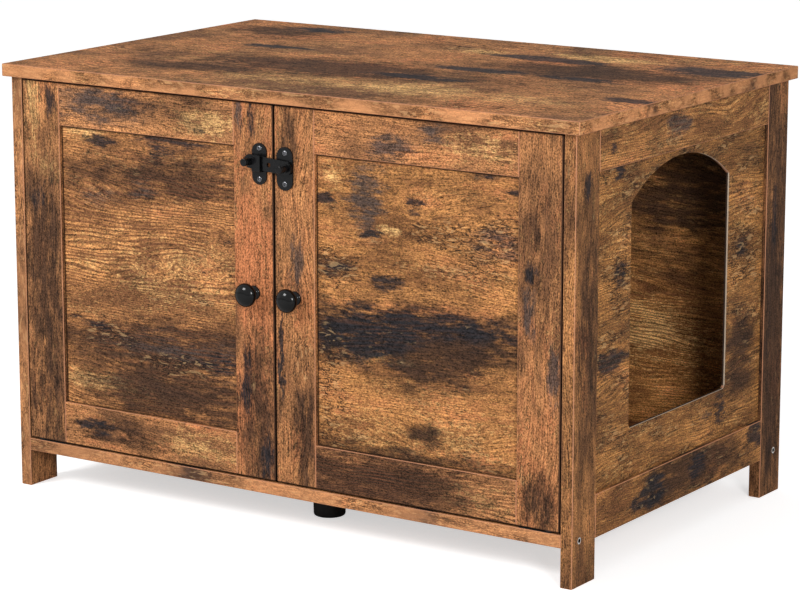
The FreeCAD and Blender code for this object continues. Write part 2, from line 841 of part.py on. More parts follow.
def pivot_plate_latch():
    """The right-hand plate, with the stud's rivet hole."""
    centre = latch_plate_centre(RIGHT)
    holes = [latch_screw_hole(place) for place in latch_screw_places(RIGHT)]
    rivet = peg(stud_tail_radius + dowel_fit, stud_place(), stud_place() - Y * latch_plate,
                stud_sides)
    return cut(latch_plate_blank(centre, pivot_plate_across, pivot_plate_tall), holes + [rivet])


def pivot_stud():
    """The stud that the bar turns on: rivet tail, collar, shank and a long round barrel."""
    front = bar_layers()[1] + bar_face_room
    collar_top = latch_plate + stud_collar
    outline = [(0, 0), (stud_tail_radius, 0), (stud_tail_radius, latch_plate),
               (stud_collar_radius, latch_plate), (stud_collar_radius, collar_top),
               (stud_shank_radius, collar_top), (stud_shank_radius, front),
               (stud_barrel_radius, front), (stud_barrel_radius, stud_reach - edge_break),
               (stud_barrel_radius - edge_break, stud_reach), (0, stud_reach)]
    return turned(outline, stud_place(), -Y, stud_sides)


def bar_length():
    """From the stud to the lifting knob, which hangs just clear of the hook."""
    hook_edge = latch_plate_centre(LEFT).x - hook_width / 2
    reach = stud_place().x - hook_edge + lift_knob_room + lift_knob_radius
    return reach / math.cos(math.radians(bar_slope))


def latch_bar():
    """The flat bar with round ends, its pivot hole, its rivet hole and a small hole between."""
    rear, front = bar_layers()
    length, far_end = bar_length(), along_bar(bar_length())
    blank = rod(bar_half_height, stud_place() - Y * rear, stud_place() - Y * front)
    tip = rod(bar_half_height, far_end - Y * rear, far_end - Y * front)
    strip = box((-length, 0), (-front, -rear), (-bar_half_height, bar_half_height))
    strip.rotate(Vector(0, 0, 0), Y, bar_slope)
    strip.translate(stud_place())
    bar = blank.fuse([strip, tip]).removeSplitter()
    holes = [(0, stud_shank_radius + pin_running_fit), (bar_hole_from_stud, bar_hole_radius),
             (length, lift_tail_radius + dowel_fit)]
    return cut(bar, [rod(radius, along_bar(step) - Y * rear, along_bar(step) - Y * front)
                     for step, radius in holes])


def lift_knob():
    """The small round knob near the bar's free end, riveted through it."""
    rear, front = bar_layers()
    outline = [(0, rear), (lift_tail_radius, rear), (lift_tail_radius, front),
               (lift_knob_radius, front), (lift_knob_radius, lift_knob_reach - edge_break),
               (lift_knob_radius - edge_break, lift_knob_reach), (0, lift_knob_reach)]
    return turned(outline, along_bar(bar_length()), -Y, stud_sides)


def hook_floor():
    """Height of the hook's floor: just under the lowest part of the bar that lies in it."""
    near_edge = latch_plate_centre(LEFT).x + hook_width / 2
    slope = math.radians(bar_slope)
    middle_line = stud_height + (stud_place().x - near_edge) * math.tan(slope)
    return middle_line - bar_half_height / math.cos(slope) - hook_floor_room


def keeper():
    """The left-hand plate with its hook, open at the top, that the bar drops into."""
    centre = latch_plate_centre(LEFT)
    x = grown((centre.x, centre.x), hook_width / 2)
    floor, inner = hook_floor(), bar_layers()[1] + hook_room
    outer = inner + latch_plate
    hook_block = box(x, (-outer, -latch_plate), (floor - latch_plate, floor + hook_lip))
    lower_front = [edge for edge in hook_block.Edges if edge.BoundBox.YMax < -outer + close
                   and edge.BoundBox.ZMax < floor - latch_plate + close]
    hook_block = hook_block.makeFillet(hook_corner, lower_front)
    hollow = box(grown(x, cutter_margin), (-inner, -latch_plate),
                 (floor, floor + hook_lip + cutter_margin))
    plate = latch_plate_blank(centre, keeper_plate_width, keeper_plate_height)
    holes = [latch_screw_hole(place) for place in latch_screw_places(LEFT)]
    return cut(plate.fuse(hook_block.cut(hollow)).removeSplitter(), holes)


# --- writing the pieces

def save(name, solids):
    """Write one sub-part, moved so that the origin is in the middle of the object's box."""
    shape = solids[0] if len(solids) == 1 else Part.makeCompound(solids)
    moved = shape.copy()
    moved.translate(Vector(0, -origin_from_front, 0))
    moved.exportStep(os.path.join("parts", name + ".step"))


def side_wall_nodes(side, word):
    """The boards and the panel of one side wall, by name."""
    opening = [arch_cutter()] if side == RIGHT else []
    return {
        word + "_front_post": [post(side, (0, post_width))],
        word + "_rear_post": [post(side, (body_depth - post_width, body_depth))],
        word + "_upper_rail": [side_rail(side, under_top, upper_rail_under)],
        word + "_lower_rail": [side_rail(side, lower_rail_start, lower_rail_top)],
        word + "_side_panel": [side_panel(side, opening)],
    }


def door_nodes(side, word):
    """The boards, the panel and the fittings that belong to one door, by name."""
    return {
        word + "_door_hinge_stile": [door_stile(side, True)],
        word + "_door_lock_stile": [door_stile(side, False)],
        word + "_door_upper_rail": [door_rail(side, True)],
        word + "_door_lower_rail": [door_rail(side, False)],
        word + "_door_panel": [door_panel(side)],
        word + "_door_bushes": [bush(side, 1), bush(side, -1)],
        word + "_knob": [knob(side)],
        word + "_knob_screw": [knob_screw(side)],
        word + "_strike_plate": [strike_plate(side)],
        word + "_strike_screw": [small_screw(strike_centre(side), -Y)],
        word + "_pivot_plates": [pivot_plate(side, 1), pivot_plate(side, -1)],
        word + "_pivot_screws": pivot_screws(side, 1) + pivot_screws(side, -1),
    }


def latch_nodes():
    """The pieces of the latch, by name."""
    return {
        "latch_keeper": [keeper()],
        "latch_keeper_screws": [latch_screw(place) for place in latch_screw_places(LEFT)],
        "latch_pivot_plate": [pivot_plate_latch()],
        "latch_pivot_screws": [latch_screw(place) for place in latch_screw_places(RIGHT)],
        "latch_pivot_stud": [pivot_stud()],
        "latch_bar": [latch_bar()],
        "latch_lift_knob": [lift_knob()],
    }


def carcass_nodes():
    """The top, bottom, back, foot and the fixings between boards, by name."""
    return {
        "top_panel": [top_panel()],
        "bottom_panel": [bottom_panel()],
        "back_panel": [back_panel_room(0, groove_end_room)],
        "top_dowels": [dowel.solid() for dowel in top_dowels()],
        "bottom_dowels": [dowel.solid() for dowel in bottom_dowels()],
        "cam_locks": [cam_lock(side, y) for side, y in cam_places()],
        "cam_bolts": [cam_bolt(side, y) for side, y in cam_places()],
        "wall_bolts": [wall_bolt(side, y) for side in (LEFT, RIGHT) for y in bolt_places],
        "centre_foot": [centre_foot()],
        "foot_stud": [foot_stud()],
        "catch_housing": [catch_body()],
        "catch_magnets": [magnet_block(side, 0) for side in (LEFT, RIGHT)],
        "catch_screws": [catch_screw(x) for x in catch_screw_x()],
    }


def main():
    os.makedirs("parts", exist_ok=True)
    nodes = carcass_nodes()
    for side, word in ((LEFT, "left"), (RIGHT, "right")):
        nodes.update(side_wall_nodes(side, word))
        nodes.update(door_nodes(side, word))
    nodes.update(latch_nodes())
    for name, solids in nodes.items():
        for solid in solids:
            if not solid.isValid() or len(solid.Solids) != 1:
                print("check", name, "solids", len(solid.Solids), "valid", solid.isValid())
        save(name, solids)
    print(len(nodes), "sub-parts; door pivots at x", pivot_x, "y", pivot_setback - origin_from_front)
    print("latch stud at", stud_place().x, -origin_from_front, stud_height)


main()
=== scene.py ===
# %% [markdown]
# # A litter box cabinet in rustic brown boards
# The cabinet is a small piece of furniture: two framed doors, two framed walls, a top, a bottom
# and a back, all cut from board that is covered with a printed wood foil. The shapes are fixed by
# the CAD model, so this lesson is mostly about finishes: one foil recipe that is used on every
# board, black coated metal for the latch, and gloss black for the knobs. The first cell loads the
# imported model.

# %% Load the cabinet
import json
import math

import bpy
import numpy as np
from mathutils import Matrix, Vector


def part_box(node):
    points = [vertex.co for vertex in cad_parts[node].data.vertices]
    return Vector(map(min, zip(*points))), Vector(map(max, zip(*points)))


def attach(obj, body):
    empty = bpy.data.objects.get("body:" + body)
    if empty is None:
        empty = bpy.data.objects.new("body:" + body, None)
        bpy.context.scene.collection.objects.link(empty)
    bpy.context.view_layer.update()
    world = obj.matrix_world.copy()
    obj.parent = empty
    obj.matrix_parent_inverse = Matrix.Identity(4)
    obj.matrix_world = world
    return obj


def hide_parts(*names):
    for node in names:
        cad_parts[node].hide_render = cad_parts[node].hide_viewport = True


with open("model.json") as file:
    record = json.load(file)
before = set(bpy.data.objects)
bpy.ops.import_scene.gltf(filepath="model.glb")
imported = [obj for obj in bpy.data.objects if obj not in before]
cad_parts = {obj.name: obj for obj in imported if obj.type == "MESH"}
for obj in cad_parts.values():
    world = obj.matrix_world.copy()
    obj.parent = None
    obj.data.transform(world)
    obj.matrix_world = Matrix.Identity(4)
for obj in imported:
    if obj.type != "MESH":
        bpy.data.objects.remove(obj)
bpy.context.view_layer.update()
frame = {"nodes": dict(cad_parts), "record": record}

nodes = frame["nodes"]

# %% [markdown]
# ## The camera
# The photograph was taken with a long lens from the front right and a little above. A camera like
# that can be set by eye, but it is quicker to fit it: the corners of the top, the feet and the
# doors are known in the model and seen in the picture, and the place, the angles and the lens that
# bring them together are found by least squares. Here only the result is used. The lens isn't
# shifted, so that the camera can be turned to any other side and still has the cabinet in the
# middle.

# %% Camera
yaw, pitch, roll = np.radians([33.738, 12.236, -0.002])
image_width, sensor_width, focal_pixels = 800, 36, 3154.0
camera_place = (2.0712, -3.0904, 1.0417)

level_right = np.array([math.cos(yaw), math.sin(yaw), 0.0])
level_ahead = np.array([-math.sin(yaw), math.cos(yaw), 0.0])
ahead = math.cos(pitch) * level_ahead - math.sin(pitch) * np.array([0.0, 0.0, 1.0])
level_up = np.cross(level_right, ahead)
right = math.cos(roll) * level_right + math.sin(roll) * level_up
up = math.cos(roll) * level_up - math.sin(roll) * level_right

camera_data = bpy.data.cameras.new("camera")
camera_data.sensor_width = sensor_width
camera_data.lens = focal_pixels / image_width * sensor_width
camera = bpy.data.objects.new("camera", camera_data)
bpy.context.scene.collection.objects.link(camera)
turned_to = np.eye(4)
turned_to[:3, :3] = np.stack([right, up, -ahead], axis=1)
turned_to[:3, 3] = camera_place
camera.matrix_world = Matrix(turned_to.tolist())
bpy.context.scene.camera = camera
print(f"lens {camera_data.lens:.1f} mm")

# %% [markdown]
# ## Writing node trees as sums
# A procedural material is a formula. Nodes can be placed by hand in the editor, but a formula with
# forty terms is easier to read as text. This small helper adds one node for each call and gives
# back its output, so that a material below reads like arithmetic. Colours are given as they are
# read from a screen, and paint() turns them into the linear values that a shader wants.

# %% Node helper
def paint(red, green, blue):
    """A colour as read from a screen, 0 to 255, turned into the linear value that a shader
    wants."""
    screen = np.array([red, green, blue]) / 255
    linear = np.where(screen <= 0.04045, screen / 12.92, ((screen + 0.055) / 1.055) ** 2.4)
    return (*linear.tolist(), 1.0)


class Recipe:
    """A node tree that is written as sums. Every method adds a node and returns its output."""

    def __init__(self, tree):
        self.tree = tree

    def put(self, kind, inputs, **settings):
        """Adds a node. An input is a number, a colour, or another node's output, which is
        linked."""
        node = self.tree.nodes.new("ShaderNode" + kind)
        for name, value in settings.items():
            setattr(node, name, value)
        self.feed(node, inputs)
        return node

    def feed(self, node, inputs):
        """Sets a node's inputs, or links them."""
        for key, value in inputs.items():
            if isinstance(value, bpy.types.NodeSocket):
                self.tree.links.new(value, node.inputs[key])
            else:
                node.inputs[key].default_value = value

    def sum(self, operation, a, b=0.0, c=0.0):
        """One arithmetic step on numbers."""
        return self.put("Math", {0: a, 1: b, 2: c}, operation=operation).outputs[0]

    def total(self, *terms):
        """The sum of (value, weight) pairs."""
        result = 0.0
        for value, weight in terms:
            result = self.sum("MULTIPLY_ADD", value, weight, result)
        return result

    def between(self, value, low, high, bottom=0.0, top=1.0):
        """A soft step: bottom below low, top above high, and an S-curve in between."""
        found = self.put("MapRange", {0: value, 1: low, 2: high, 3: bottom, 4: top},
                         interpolation_type="SMOOTHSTEP")
        return found.outputs[0]

    def stretched(self, place, along, across, through):
        """The place times a number on each axis, so that a pattern gets long in the direction that
        has the small number."""
        return self.put("VectorMath", {0: place, 1: (along, across, through)},
                        operation="MULTIPLY").outputs[0]

    def noise(self, place, detail=2.0, roughness=0.5, distortion=0.0):
        """Cloudy noise, 0 to 1, with a mean of a half."""
        found = self.put("TexNoise", {"Vector": place, "Scale": 1.0, "Detail": detail,
                                      "Roughness": roughness, "Distortion": distortion})
        return found.outputs[0]

    def mix(self, share, a, b):
        """Colour a, with share of colour b laid over it."""
        return self.put("Mix", {0: share, 6: a, 7: b}, data_type="RGBA").outputs[2]

    def split(self, vector):
        return self.put("SeparateXYZ", {0: vector}).outputs

    def join(self, x, y, z):
        return self.put("CombineXYZ", {0: x, 1: y, 2: z}).outputs[0]

    def show(self, kind, shader):
        """Adds the output of a Material or the World, and links the shader to it."""
        self.put("Output" + kind, {0: shader.outputs[0]})


def blank(owner):
    """Empties the node tree of a material or the world, and gives a recipe for it."""
    owner.use_nodes = True
    owner.node_tree.nodes.clear()
    return Recipe(owner.node_tree)


print("brown on screen 112, 70, 40 is", [round(x, 3) for x in paint(112, 70, 40)])

# %% [markdown]
# ## The printed wood foil
# The boards are fibreboard under a printed paper foil, a "rustic brown": an orange brown ground,
# fine fibres along the grain, wavy year rings that close round knots, golden, reddish and pale
# areas, soft grey and black stains, and small black cracks. A photograph of wood could be wrapped
# round the boards, but it would repeat and it would belong to somebody. Here every layer is a
# noise that is stretched along the grain. One group holds them all, so that each board only says
# where its own stains are: an input is the extra strength of one layer, and Tone is the brightness
# of the print. On the top and the back, Tone is also painted light.

# %% Foil group
foil_inputs = ("Dark", "Black", "Grey", "Pale", "Red", "Cracks", "Rings", "Knots", "Gold", "Tone")

foil = bpy.data.node_groups.new("rustic_foil", "ShaderNodeTree")
foil.interface.new_socket("Place", in_out="INPUT", socket_type="NodeSocketVector")
for name in foil_inputs:
    foil.interface.new_socket(name, in_out="INPUT", socket_type="NodeSocketFloat")
for name, kind in (("Colour", "Color"), ("Roughness", "Float"), ("Height", "Float")):
    foil.interface.new_socket(name, in_out="OUTPUT", socket_type="NodeSocket" + kind)

r = Recipe(foil)
given = foil.nodes.new("NodeGroupInput").outputs
place = given["Place"]
along, across, through = r.split(place)
print("the foil takes a place and", len(foil_inputs), "strengths")

# %% [markdown]
# ### Rings and fibres
# Year rings are the contour lines of one height field. A bump in that field closes the lines round
# it, which is what a knot is. Fibres could be drawn straight along the grain, but then they would
# run through the knots. They are drawn across the same field, so that they bend round them. Tooth
# and grit are the speckle of the print itself, which has no direction to speak of.

# %% Ring field, fibres and speckle
ring_pitch = 0.0042
swell_rings, knot_rings = 20.0, 2.6

swell = r.noise(r.stretched(place, 2.6, 12.0, 12.0), detail=2.5)
flow = r.total((r.sum("ADD", across, through), 1 / ring_pitch), (swell, swell_rings),
               (given["Knots"], knot_rings))
bent = r.sum("MULTIPLY", flow, ring_pitch)
late_wood = r.between(r.sum("SINE", r.sum("MULTIPLY", flow, 2 * math.pi)), -0.2, 0.9)


def fibre(along_rate, bent_rate, third, detail, roughness=0.5):
    """Noise of (along * along_rate, ring field * bent_rate, third): long on the grain, thin
    across."""
    where = r.join(r.sum("MULTIPLY", along, along_rate), r.sum("MULTIPLY", bent, bent_rate), third)
    return r.noise(where, detail=detail, roughness=roughness)


fine = fibre(45.0, 740.0, r.sum("MULTIPLY", through, 60.0), 2.0, 0.7)
pores = fibre(190.0, 520.0, 3.3, 1.0)
coarse = fibre(11.0, 110.0, through, 4.0, 0.62)
tooth = r.noise(r.stretched(place, 460.0, 760.0, 760.0), detail=1.0, roughness=0.7)
grit = r.noise(r.stretched(place, 170.0, 300.0, 300.0), detail=2.0, roughness=0.6)
print("one ring every", ring_pitch * 1000, "mm")

# %% [markdown]
# ### Clouds and ground colours
# Areas of colour follow large soft noises, longer along the grain than across it. The ground is an
# orange brown or a golden brown, and reddish and pale areas lie over it. A soft step on one noise
# would give smooth blots, so each step is taken on a sum of a cloud, the coarse fibres and the
# grit, and its edge is ragged at every scale.

# %% Clouds
cross_stretch = 2.4


def cloud(shift, scale, detail, roughness):
    """Noise of (place + shift) * scale, with cross_stretch times that scale across the grain."""
    moved = r.put("VectorMath", {0: place, 1: shift}, operation="ADD").outputs[0]
    across_scale = scale * cross_stretch
    return r.noise(r.stretched(moved, scale, across_scale, across_scale), detail=detail,
                   roughness=roughness)


cloud_a = cloud((0.0, 0.0, 0.0), 5.5, 7.0, 0.66)
cloud_b = cloud((3.1, 1.7, 5.3), 8.0, 5.0, 0.6)
cloud_c = cloud((7.9, 4.3, 2.2), 13.0, 7.0, 0.72)
smudge = cloud((1.3, 8.8, 4.1), 26.0, 5.0, 0.68)
print("clouds from", round(1000 / 26), "to", round(1000 / 5.5), "mm long")

# %% Ground colours
def laid_over(below, terms, low, high, most, tint):
    """below, with tint let in by a share that rises from 0 to most as the sum of the terms goes
    from low to high. Gives the new colour and the share."""
    share = r.between(r.total(*terms), low, high, 0.0, most)
    return r.mix(share, below, tint), share


brown_ground = r.mix(r.between(r.total((cloud_b, 0.5), (coarse, 0.3), (grit, 0.2)), 0.40, 0.60),
                     paint(104, 70, 46), paint(196, 135, 85))
gold_ground = r.mix(r.between(r.total((cloud_b, 0.4), (coarse, 0.3), (grit, 0.3)), 0.42, 0.60),
                    paint(108, 70, 38), paint(200, 140, 76))
ground = r.mix(given["Gold"], brown_ground, gold_ground)
ground, _ = laid_over(ground, [(cloud_b, 0.5), (cloud_c, 0.5), (given["Red"], 0.18)],
                      0.52, 0.70, 0.8, paint(174, 106, 68))
ground, _ = laid_over(ground, [(cloud_c, 0.4), (coarse, 0.2), (grit, 0.4), (given["Pale"], 0.14)],
                      0.53, 0.72, 0.8, paint(220, 174, 112))
print("ground colours:", len(foil.nodes), "nodes so far")

# %% [markdown]
# ### Stains, lines and light
# Three kinds of stain lie over the ground: large dark brown ones, soft grey ones and small
# blue-black ones. Then come the late wood's rings, and a factor for light and dark that carries
# fibres, speckle and pores. Last come the cracks, thin lines where one noise is near its middle,
# with pale flecks beside them.

# %% Stains
stained, dark_share = laid_over(
    ground, [(cloud_a, 0.4), (coarse, 0.15), (smudge, 0.3), (grit, 0.15), (fine, 0.1),
             (given["Dark"], 0.22)], 0.53, 0.80, 0.9, paint(48, 34, 27))
stained, _ = laid_over(
    stained, [(cloud_c, 0.4), (smudge, 0.3), (grit, 0.3), (given["Grey"], 0.30)],
    0.56, 0.90, 0.85, paint(60, 55, 54))
stained, _ = laid_over(
    stained, [(cloud_c, 0.35), (smudge, 0.35), (grit, 0.3), (given["Black"], 0.40)],
    0.60, 0.94, 0.92, paint(30, 31, 35))
print("stains:", len(foil.nodes), "nodes so far")

# %% Lines and light
ring_strength = r.between(r.total((cloud_b, 0.8), (coarse, 0.3), (given["Rings"], 0.3)),
                          0.48, 0.80, 0.04, 0.72)
lined = r.mix(r.sum("MULTIPLY", late_wood, ring_strength), stained, paint(92, 57, 38))

brightest, dimmest, pore_light = 2.17, 0.2, 0.45
shade = r.total((r.between(fine, 0.32, 0.68), 0.70), (r.between(coarse, 0.3, 0.7), 0.22),
                (r.between(tooth, 0.30, 0.70), 1.0), (r.between(grit, 0.3, 0.7), 0.46))
light = r.sum("MAXIMUM", dimmest, r.sum("SUBTRACT", brightest, shade))
light = r.sum("MULTIPLY", light, r.between(pores, 0.62, 0.74, 1.0, pore_light))
light = r.sum("MULTIPLY", light, given["Tone"])
lined = r.put("VectorMath", {0: lined, 3: light}, operation="SCALE").outputs[0]
print("lines and light:", len(foil.nodes), "nodes so far")

# %% Cracks and the group's outputs
crack_noise = r.noise(r.stretched(place, 60.0, 210.0, 210.0), detail=3.0, roughness=0.6,
                      distortion=0.6)
off_middle = r.sum("ABSOLUTE", r.sum("SUBTRACT", crack_noise, 0.5))
crack_line = r.between(off_middle, 0.010, 0.040, 1.0, 0.0)
crack_area = r.between(r.total((cloud_c, 0.5), (smudge, 0.5), (given["Cracks"], 0.24)), 0.575, 0.66)
crack_share = r.sum("MULTIPLY", crack_line, crack_area)
fleck_share = r.sum("MULTIPLY", r.sum("MULTIPLY", crack_area, 0.3),
                    r.between(crack_noise, 0.56, 0.62))
finished = r.mix(fleck_share, lined, paint(206, 168, 118))
finished = r.mix(r.sum("MULTIPLY", crack_share, 0.85), finished, paint(28, 22, 20))

smoothest = 0.56
rough = r.total((fine, 0.16), (crack_share, 0.2), (dark_share, 0.06))
height = r.total((fine, -0.45), (crack_share, -0.6), (late_wood, -0.15))

out = foil.nodes.new("NodeGroupOutput")
foil.links.new(finished, out.inputs["Colour"])
foil.links.new(r.sum("ADD", rough, smoothest), out.inputs["Roughness"])
foil.links.new(height, out.inputs["Height"])
print("the foil group has", len(foil.nodes), "nodes")

# %% [markdown]
# ## A board's own material
# Each board takes the foil group and adds what is its own: which way its grain runs, which part of
# the endless pattern it is cut from, and its stains. A stain is an ellipse with ragged edges. Its
# place is written in millimetres, as measured on the cabinet. It could be a painted mask, but an
# ellipse whose place is shaken by noise is a few numbers, and it can be moved by hand.

# %% Stains of a board
MM = 0.001
stain_shake = (0.080, 0.030, 0.0)
stain_gain, stain_reach = 1.45, 1.9


def stain_layers(r, flat_place, stains, base):
    """How strong each layer of the foil is. A stain falls from stain_gain times its strength in
    its middle to 0 at stain_reach half sizes, at a place that is shaken by noise, and another
    noise breaks it up along the grain. base is the strength all over the board."""
    ragged = r.put("TexNoise", {"Vector": r.stretched(flat_place, 28.0, 70.0, 70.0), "Scale": 1.0,
                                "Detail": 6.0, "Roughness": 0.7}).outputs[1]
    centring = tuple(-0.5 * part for part in stain_shake)
    shift = r.put("VectorMath", {0: ragged, 1: stain_shake, 2: centring},
                  operation="MULTIPLY_ADD").outputs[0]
    stain_place = r.put("VectorMath", {0: flat_place, 1: shift}, operation="ADD").outputs[0]
    streaks = r.noise(r.stretched(flat_place, 26.0, 110.0, 110.0), detail=5.0, roughness=0.7)
    broken = r.between(streaks, 0.34, 0.60, 0.45, 1.1)

    layers = {"Tone": 1.0, **base}
    for layer, *ellipse, strength in stains:
        u, v, half_u, half_v = (MM * part for part in ellipse)
        reach = r.put("VectorMath", {0: stain_place, 1: (1 / half_u, 1 / half_v, 0.0),
                                     2: (-u / half_u, -v / half_v, 0.0)},
                      operation="MULTIPLY_ADD").outputs[0]
        far = r.put("VectorMath", {0: reach}, operation="LENGTH").outputs[1]
        found = r.between(far, 0.0, stain_reach, strength * stain_gain, 0.0)
        found = r.sum("MULTIPLY", found, broken)
        layers[layer] = r.sum("ADD", found, layers[layer]) if layer in layers else found
    return layers


print("a stain's edge wanders by up to", stain_shake[0] * 500, "mm along the grain")

# %% [markdown]
# ### Edges
# Where two faces of a board meet, the foil is folded round a small bevel, and there a pale line is
# painted: a painted highlight for the light that the bevel catches. The bevel is found by its
# direction: on it, no part of the surface's direction is near 1. The narrow edges of the top, the
# bottom and the left leg boards carry a plainer, lighter band. The entrance is sawn through the
# foil, and its cut is pale near the outer face and dark further in. The doors' outer edges are
# painted dark, painted shade in the gaps round the doors. Each of these could be a piece of its
# own, but a change of colour by direction and place needs no geometry and can't come apart from
# the board.

# %% Edges of a board
# The second colour here is a painted highlight for the bevels.
band_brown, bevel_highlight = paint(206, 144, 98), paint(196, 138, 104)
# The sawn cut is pale near the outer face and dark further in.
cut_inside, cut_outside = paint(58, 44, 36), paint(206, 186, 164)
# Both colours here are painted shade: the first on the doors' edges in the gaps round the doors,
# the second for the dark lines along those gaps and round the doors' panels.
painted_gap_shade, painted_shade_line = paint(26, 19, 15), paint(30, 20, 14)
band_cracks = 0.75
cut_pale_from = (0.3848, 0.3858)


def edge_colours(r, colour, spot, aimed, facing, grain, flat_place, through, edges):
    """The board's colour with its edges laid over it, one after the other: the band, the sawn cut,
    the painted shade on the doors' edges, the painted highlight on the bevel and the painted shade
    lines along the gaps."""
    on_side = r.sum("LESS_THAN", facing[through], 0.5)
    if edges["band"]:
        patches = r.between(r.noise(r.stretched(flat_place, 16.0, 40.0, 40.0), detail=4.0),
                            0.40, 0.60, 0.15, 0.85)
        share = r.sum("MULTIPLY", r.sum("MULTIPLY", on_side, patches), edges["band"])
        colour = r.mix(share, colour, band_brown)
    if edges["raw_cut"]:
        # the sawn cut: pale near the outer face, dark further in
        cut_colour = r.mix(r.between(spot[through], *cut_pale_from), cut_inside, cut_outside)
        colour = r.mix(on_side, colour, cut_colour)
    # painted shade: the doors' edges face the gaps round the doors and are painted dark
    if edges["outer"]:
        edge_axis, sign = edges["outer"]
        on_edge = r.sum("GREATER_THAN", r.sum("MULTIPLY", aimed[edge_axis], sign), 0.9)
        if grain == "z":
            on_edge = r.sum("MAXIMUM", on_edge, r.sum("GREATER_THAN", facing["z"], 0.9))
        colour = r.mix(on_edge, colour, painted_gap_shade)
    # painted highlight: the bevel is painted pale
    most = r.sum("MAXIMUM", r.sum("MAXIMUM", facing["x"], facing["y"]), facing["z"])
    colour = r.mix(r.between(most, 0.80, 0.95, 0.72, 0.0), colour, bevel_highlight)
    # painted shade: dark lines along the gaps round the doors and round their panels
    for axis, start, direction, width in edges["shade_lines"]:
        inside = r.sum("MULTIPLY", r.sum("SUBTRACT", spot[axis], start * MM), direction)
        line = r.between(inside, 0.35 * width * MM, width * MM, 0.85, 0.0)
        colour = r.mix(line, colour, painted_shade_line)
    return colour


print("the pale skin of the sawn cut starts at x =", cut_pale_from[0], "m")

# %% Board material
bump_strength, bump_depth = 0.5, 0.0003


def rustic_board(name, grain, across, seed, stains=(), base=None, band=0.0, raw_cut=False,
                 outer=None, spread=1.0, gloss=0.1, shade_lines=()):
    """One board's material. grain and across are the axes that the grain runs along and across.
    stains are rows of (layer, along, across, half length, half width, strength) in millimetres,
    and base is the strength of the layers all over. band is the share of the plain colour on the
    narrow edges, raw_cut says that the edges are sawn, pale near the outer face and dark further
    in, and outer is the axis and the sign of the side that is painted dark, painted shade in the
    gap round a door. The rows of dark lines are (axis, place, which way the board shows from there,
    width), also in millimetres, and are painted shade along the gaps. spread is how much wider than
    usual the pattern is across the grain, gloss the specular level."""
    material = bpy.data.materials.new("rustic_" + name)
    r = blank(material)
    through = next(axis for axis in "xyz" if axis not in (grain, across))
    where = r.put("TexCoord", {}).outputs
    spot = dict(zip("xyz", r.split(where["Object"])))
    aimed = dict(zip("xyz", r.split(where["Normal"])))
    facing = {axis: r.sum("ABSOLUTE", part) for axis, part in aimed.items()}
    flat_place = r.join(spot[grain], spot[across], spot[through])

    # on the board's ends the pattern is turned, so that its fibres still run along the edge
    on_end = r.sum("GREATER_THAN", facing[grain], 0.5)
    off_end = r.sum("SUBTRACT", 1.0, on_end)
    run = r.total((spot[across], on_end), (spot[grain], off_end))
    rise = r.total((spot[grain], on_end), (spot[across], off_end))
    place = r.put("VectorMath", {0: r.join(run, rise, spot[through]), 1: (1.0, 1 / spread, 1.0),
                                 2: (seed * 3.7, seed * 1.9, seed * 0.7)},
                  operation="MULTIPLY_ADD").outputs[0]

    layers = stain_layers(r, flat_place, stains, base or {})
    if band:
        on_band = r.sum("LESS_THAN", facing[through], 0.5)
        layers["Cracks"] = r.total((on_band, band_cracks), (layers.get("Cracks", 0.0), 1.0))
    group = r.put("Group", {}, node_tree=foil)
    r.feed(group, {"Place": place, **layers})

    edges = dict(band=band, raw_cut=raw_cut, outer=outer, shade_lines=shade_lines)
    colour = edge_colours(r, group.outputs["Colour"], spot, aimed, facing, grain, flat_place,
                          through, edges)
    bump = r.put("Bump", {"Height": group.outputs["Height"], "Strength": bump_strength,
                          "Distance": bump_depth})
    surface = r.put("BsdfPrincipled", {"Base Color": colour, "Specular IOR Level": gloss,
                                       "Roughness": group.outputs["Roughness"],
                                       "Normal": bump.outputs[0]})
    r.show("Material", surface)
    return material


def dress(node, material):
    """Gives a CAD node its material."""
    shown = nodes[node]
    if not shown.material_slots:
        shown.data.materials.append(material)
    for holder in shown.material_slots:
        holder.material = material


print("the foil's relief is", bump_depth * 1000, "mm deep")

# %% [markdown]
# ## Where the stains are
# A printed foil repeats every metre or two, but on one cabinet each board was cut from another
# part of it, so each has its own stains. They are listed here board by board, in millimetres on
# the cabinet: along the grain, across it, half the length, half the width, and how strong. A few
# long stains and many short ones look more like wood than stains of one size.

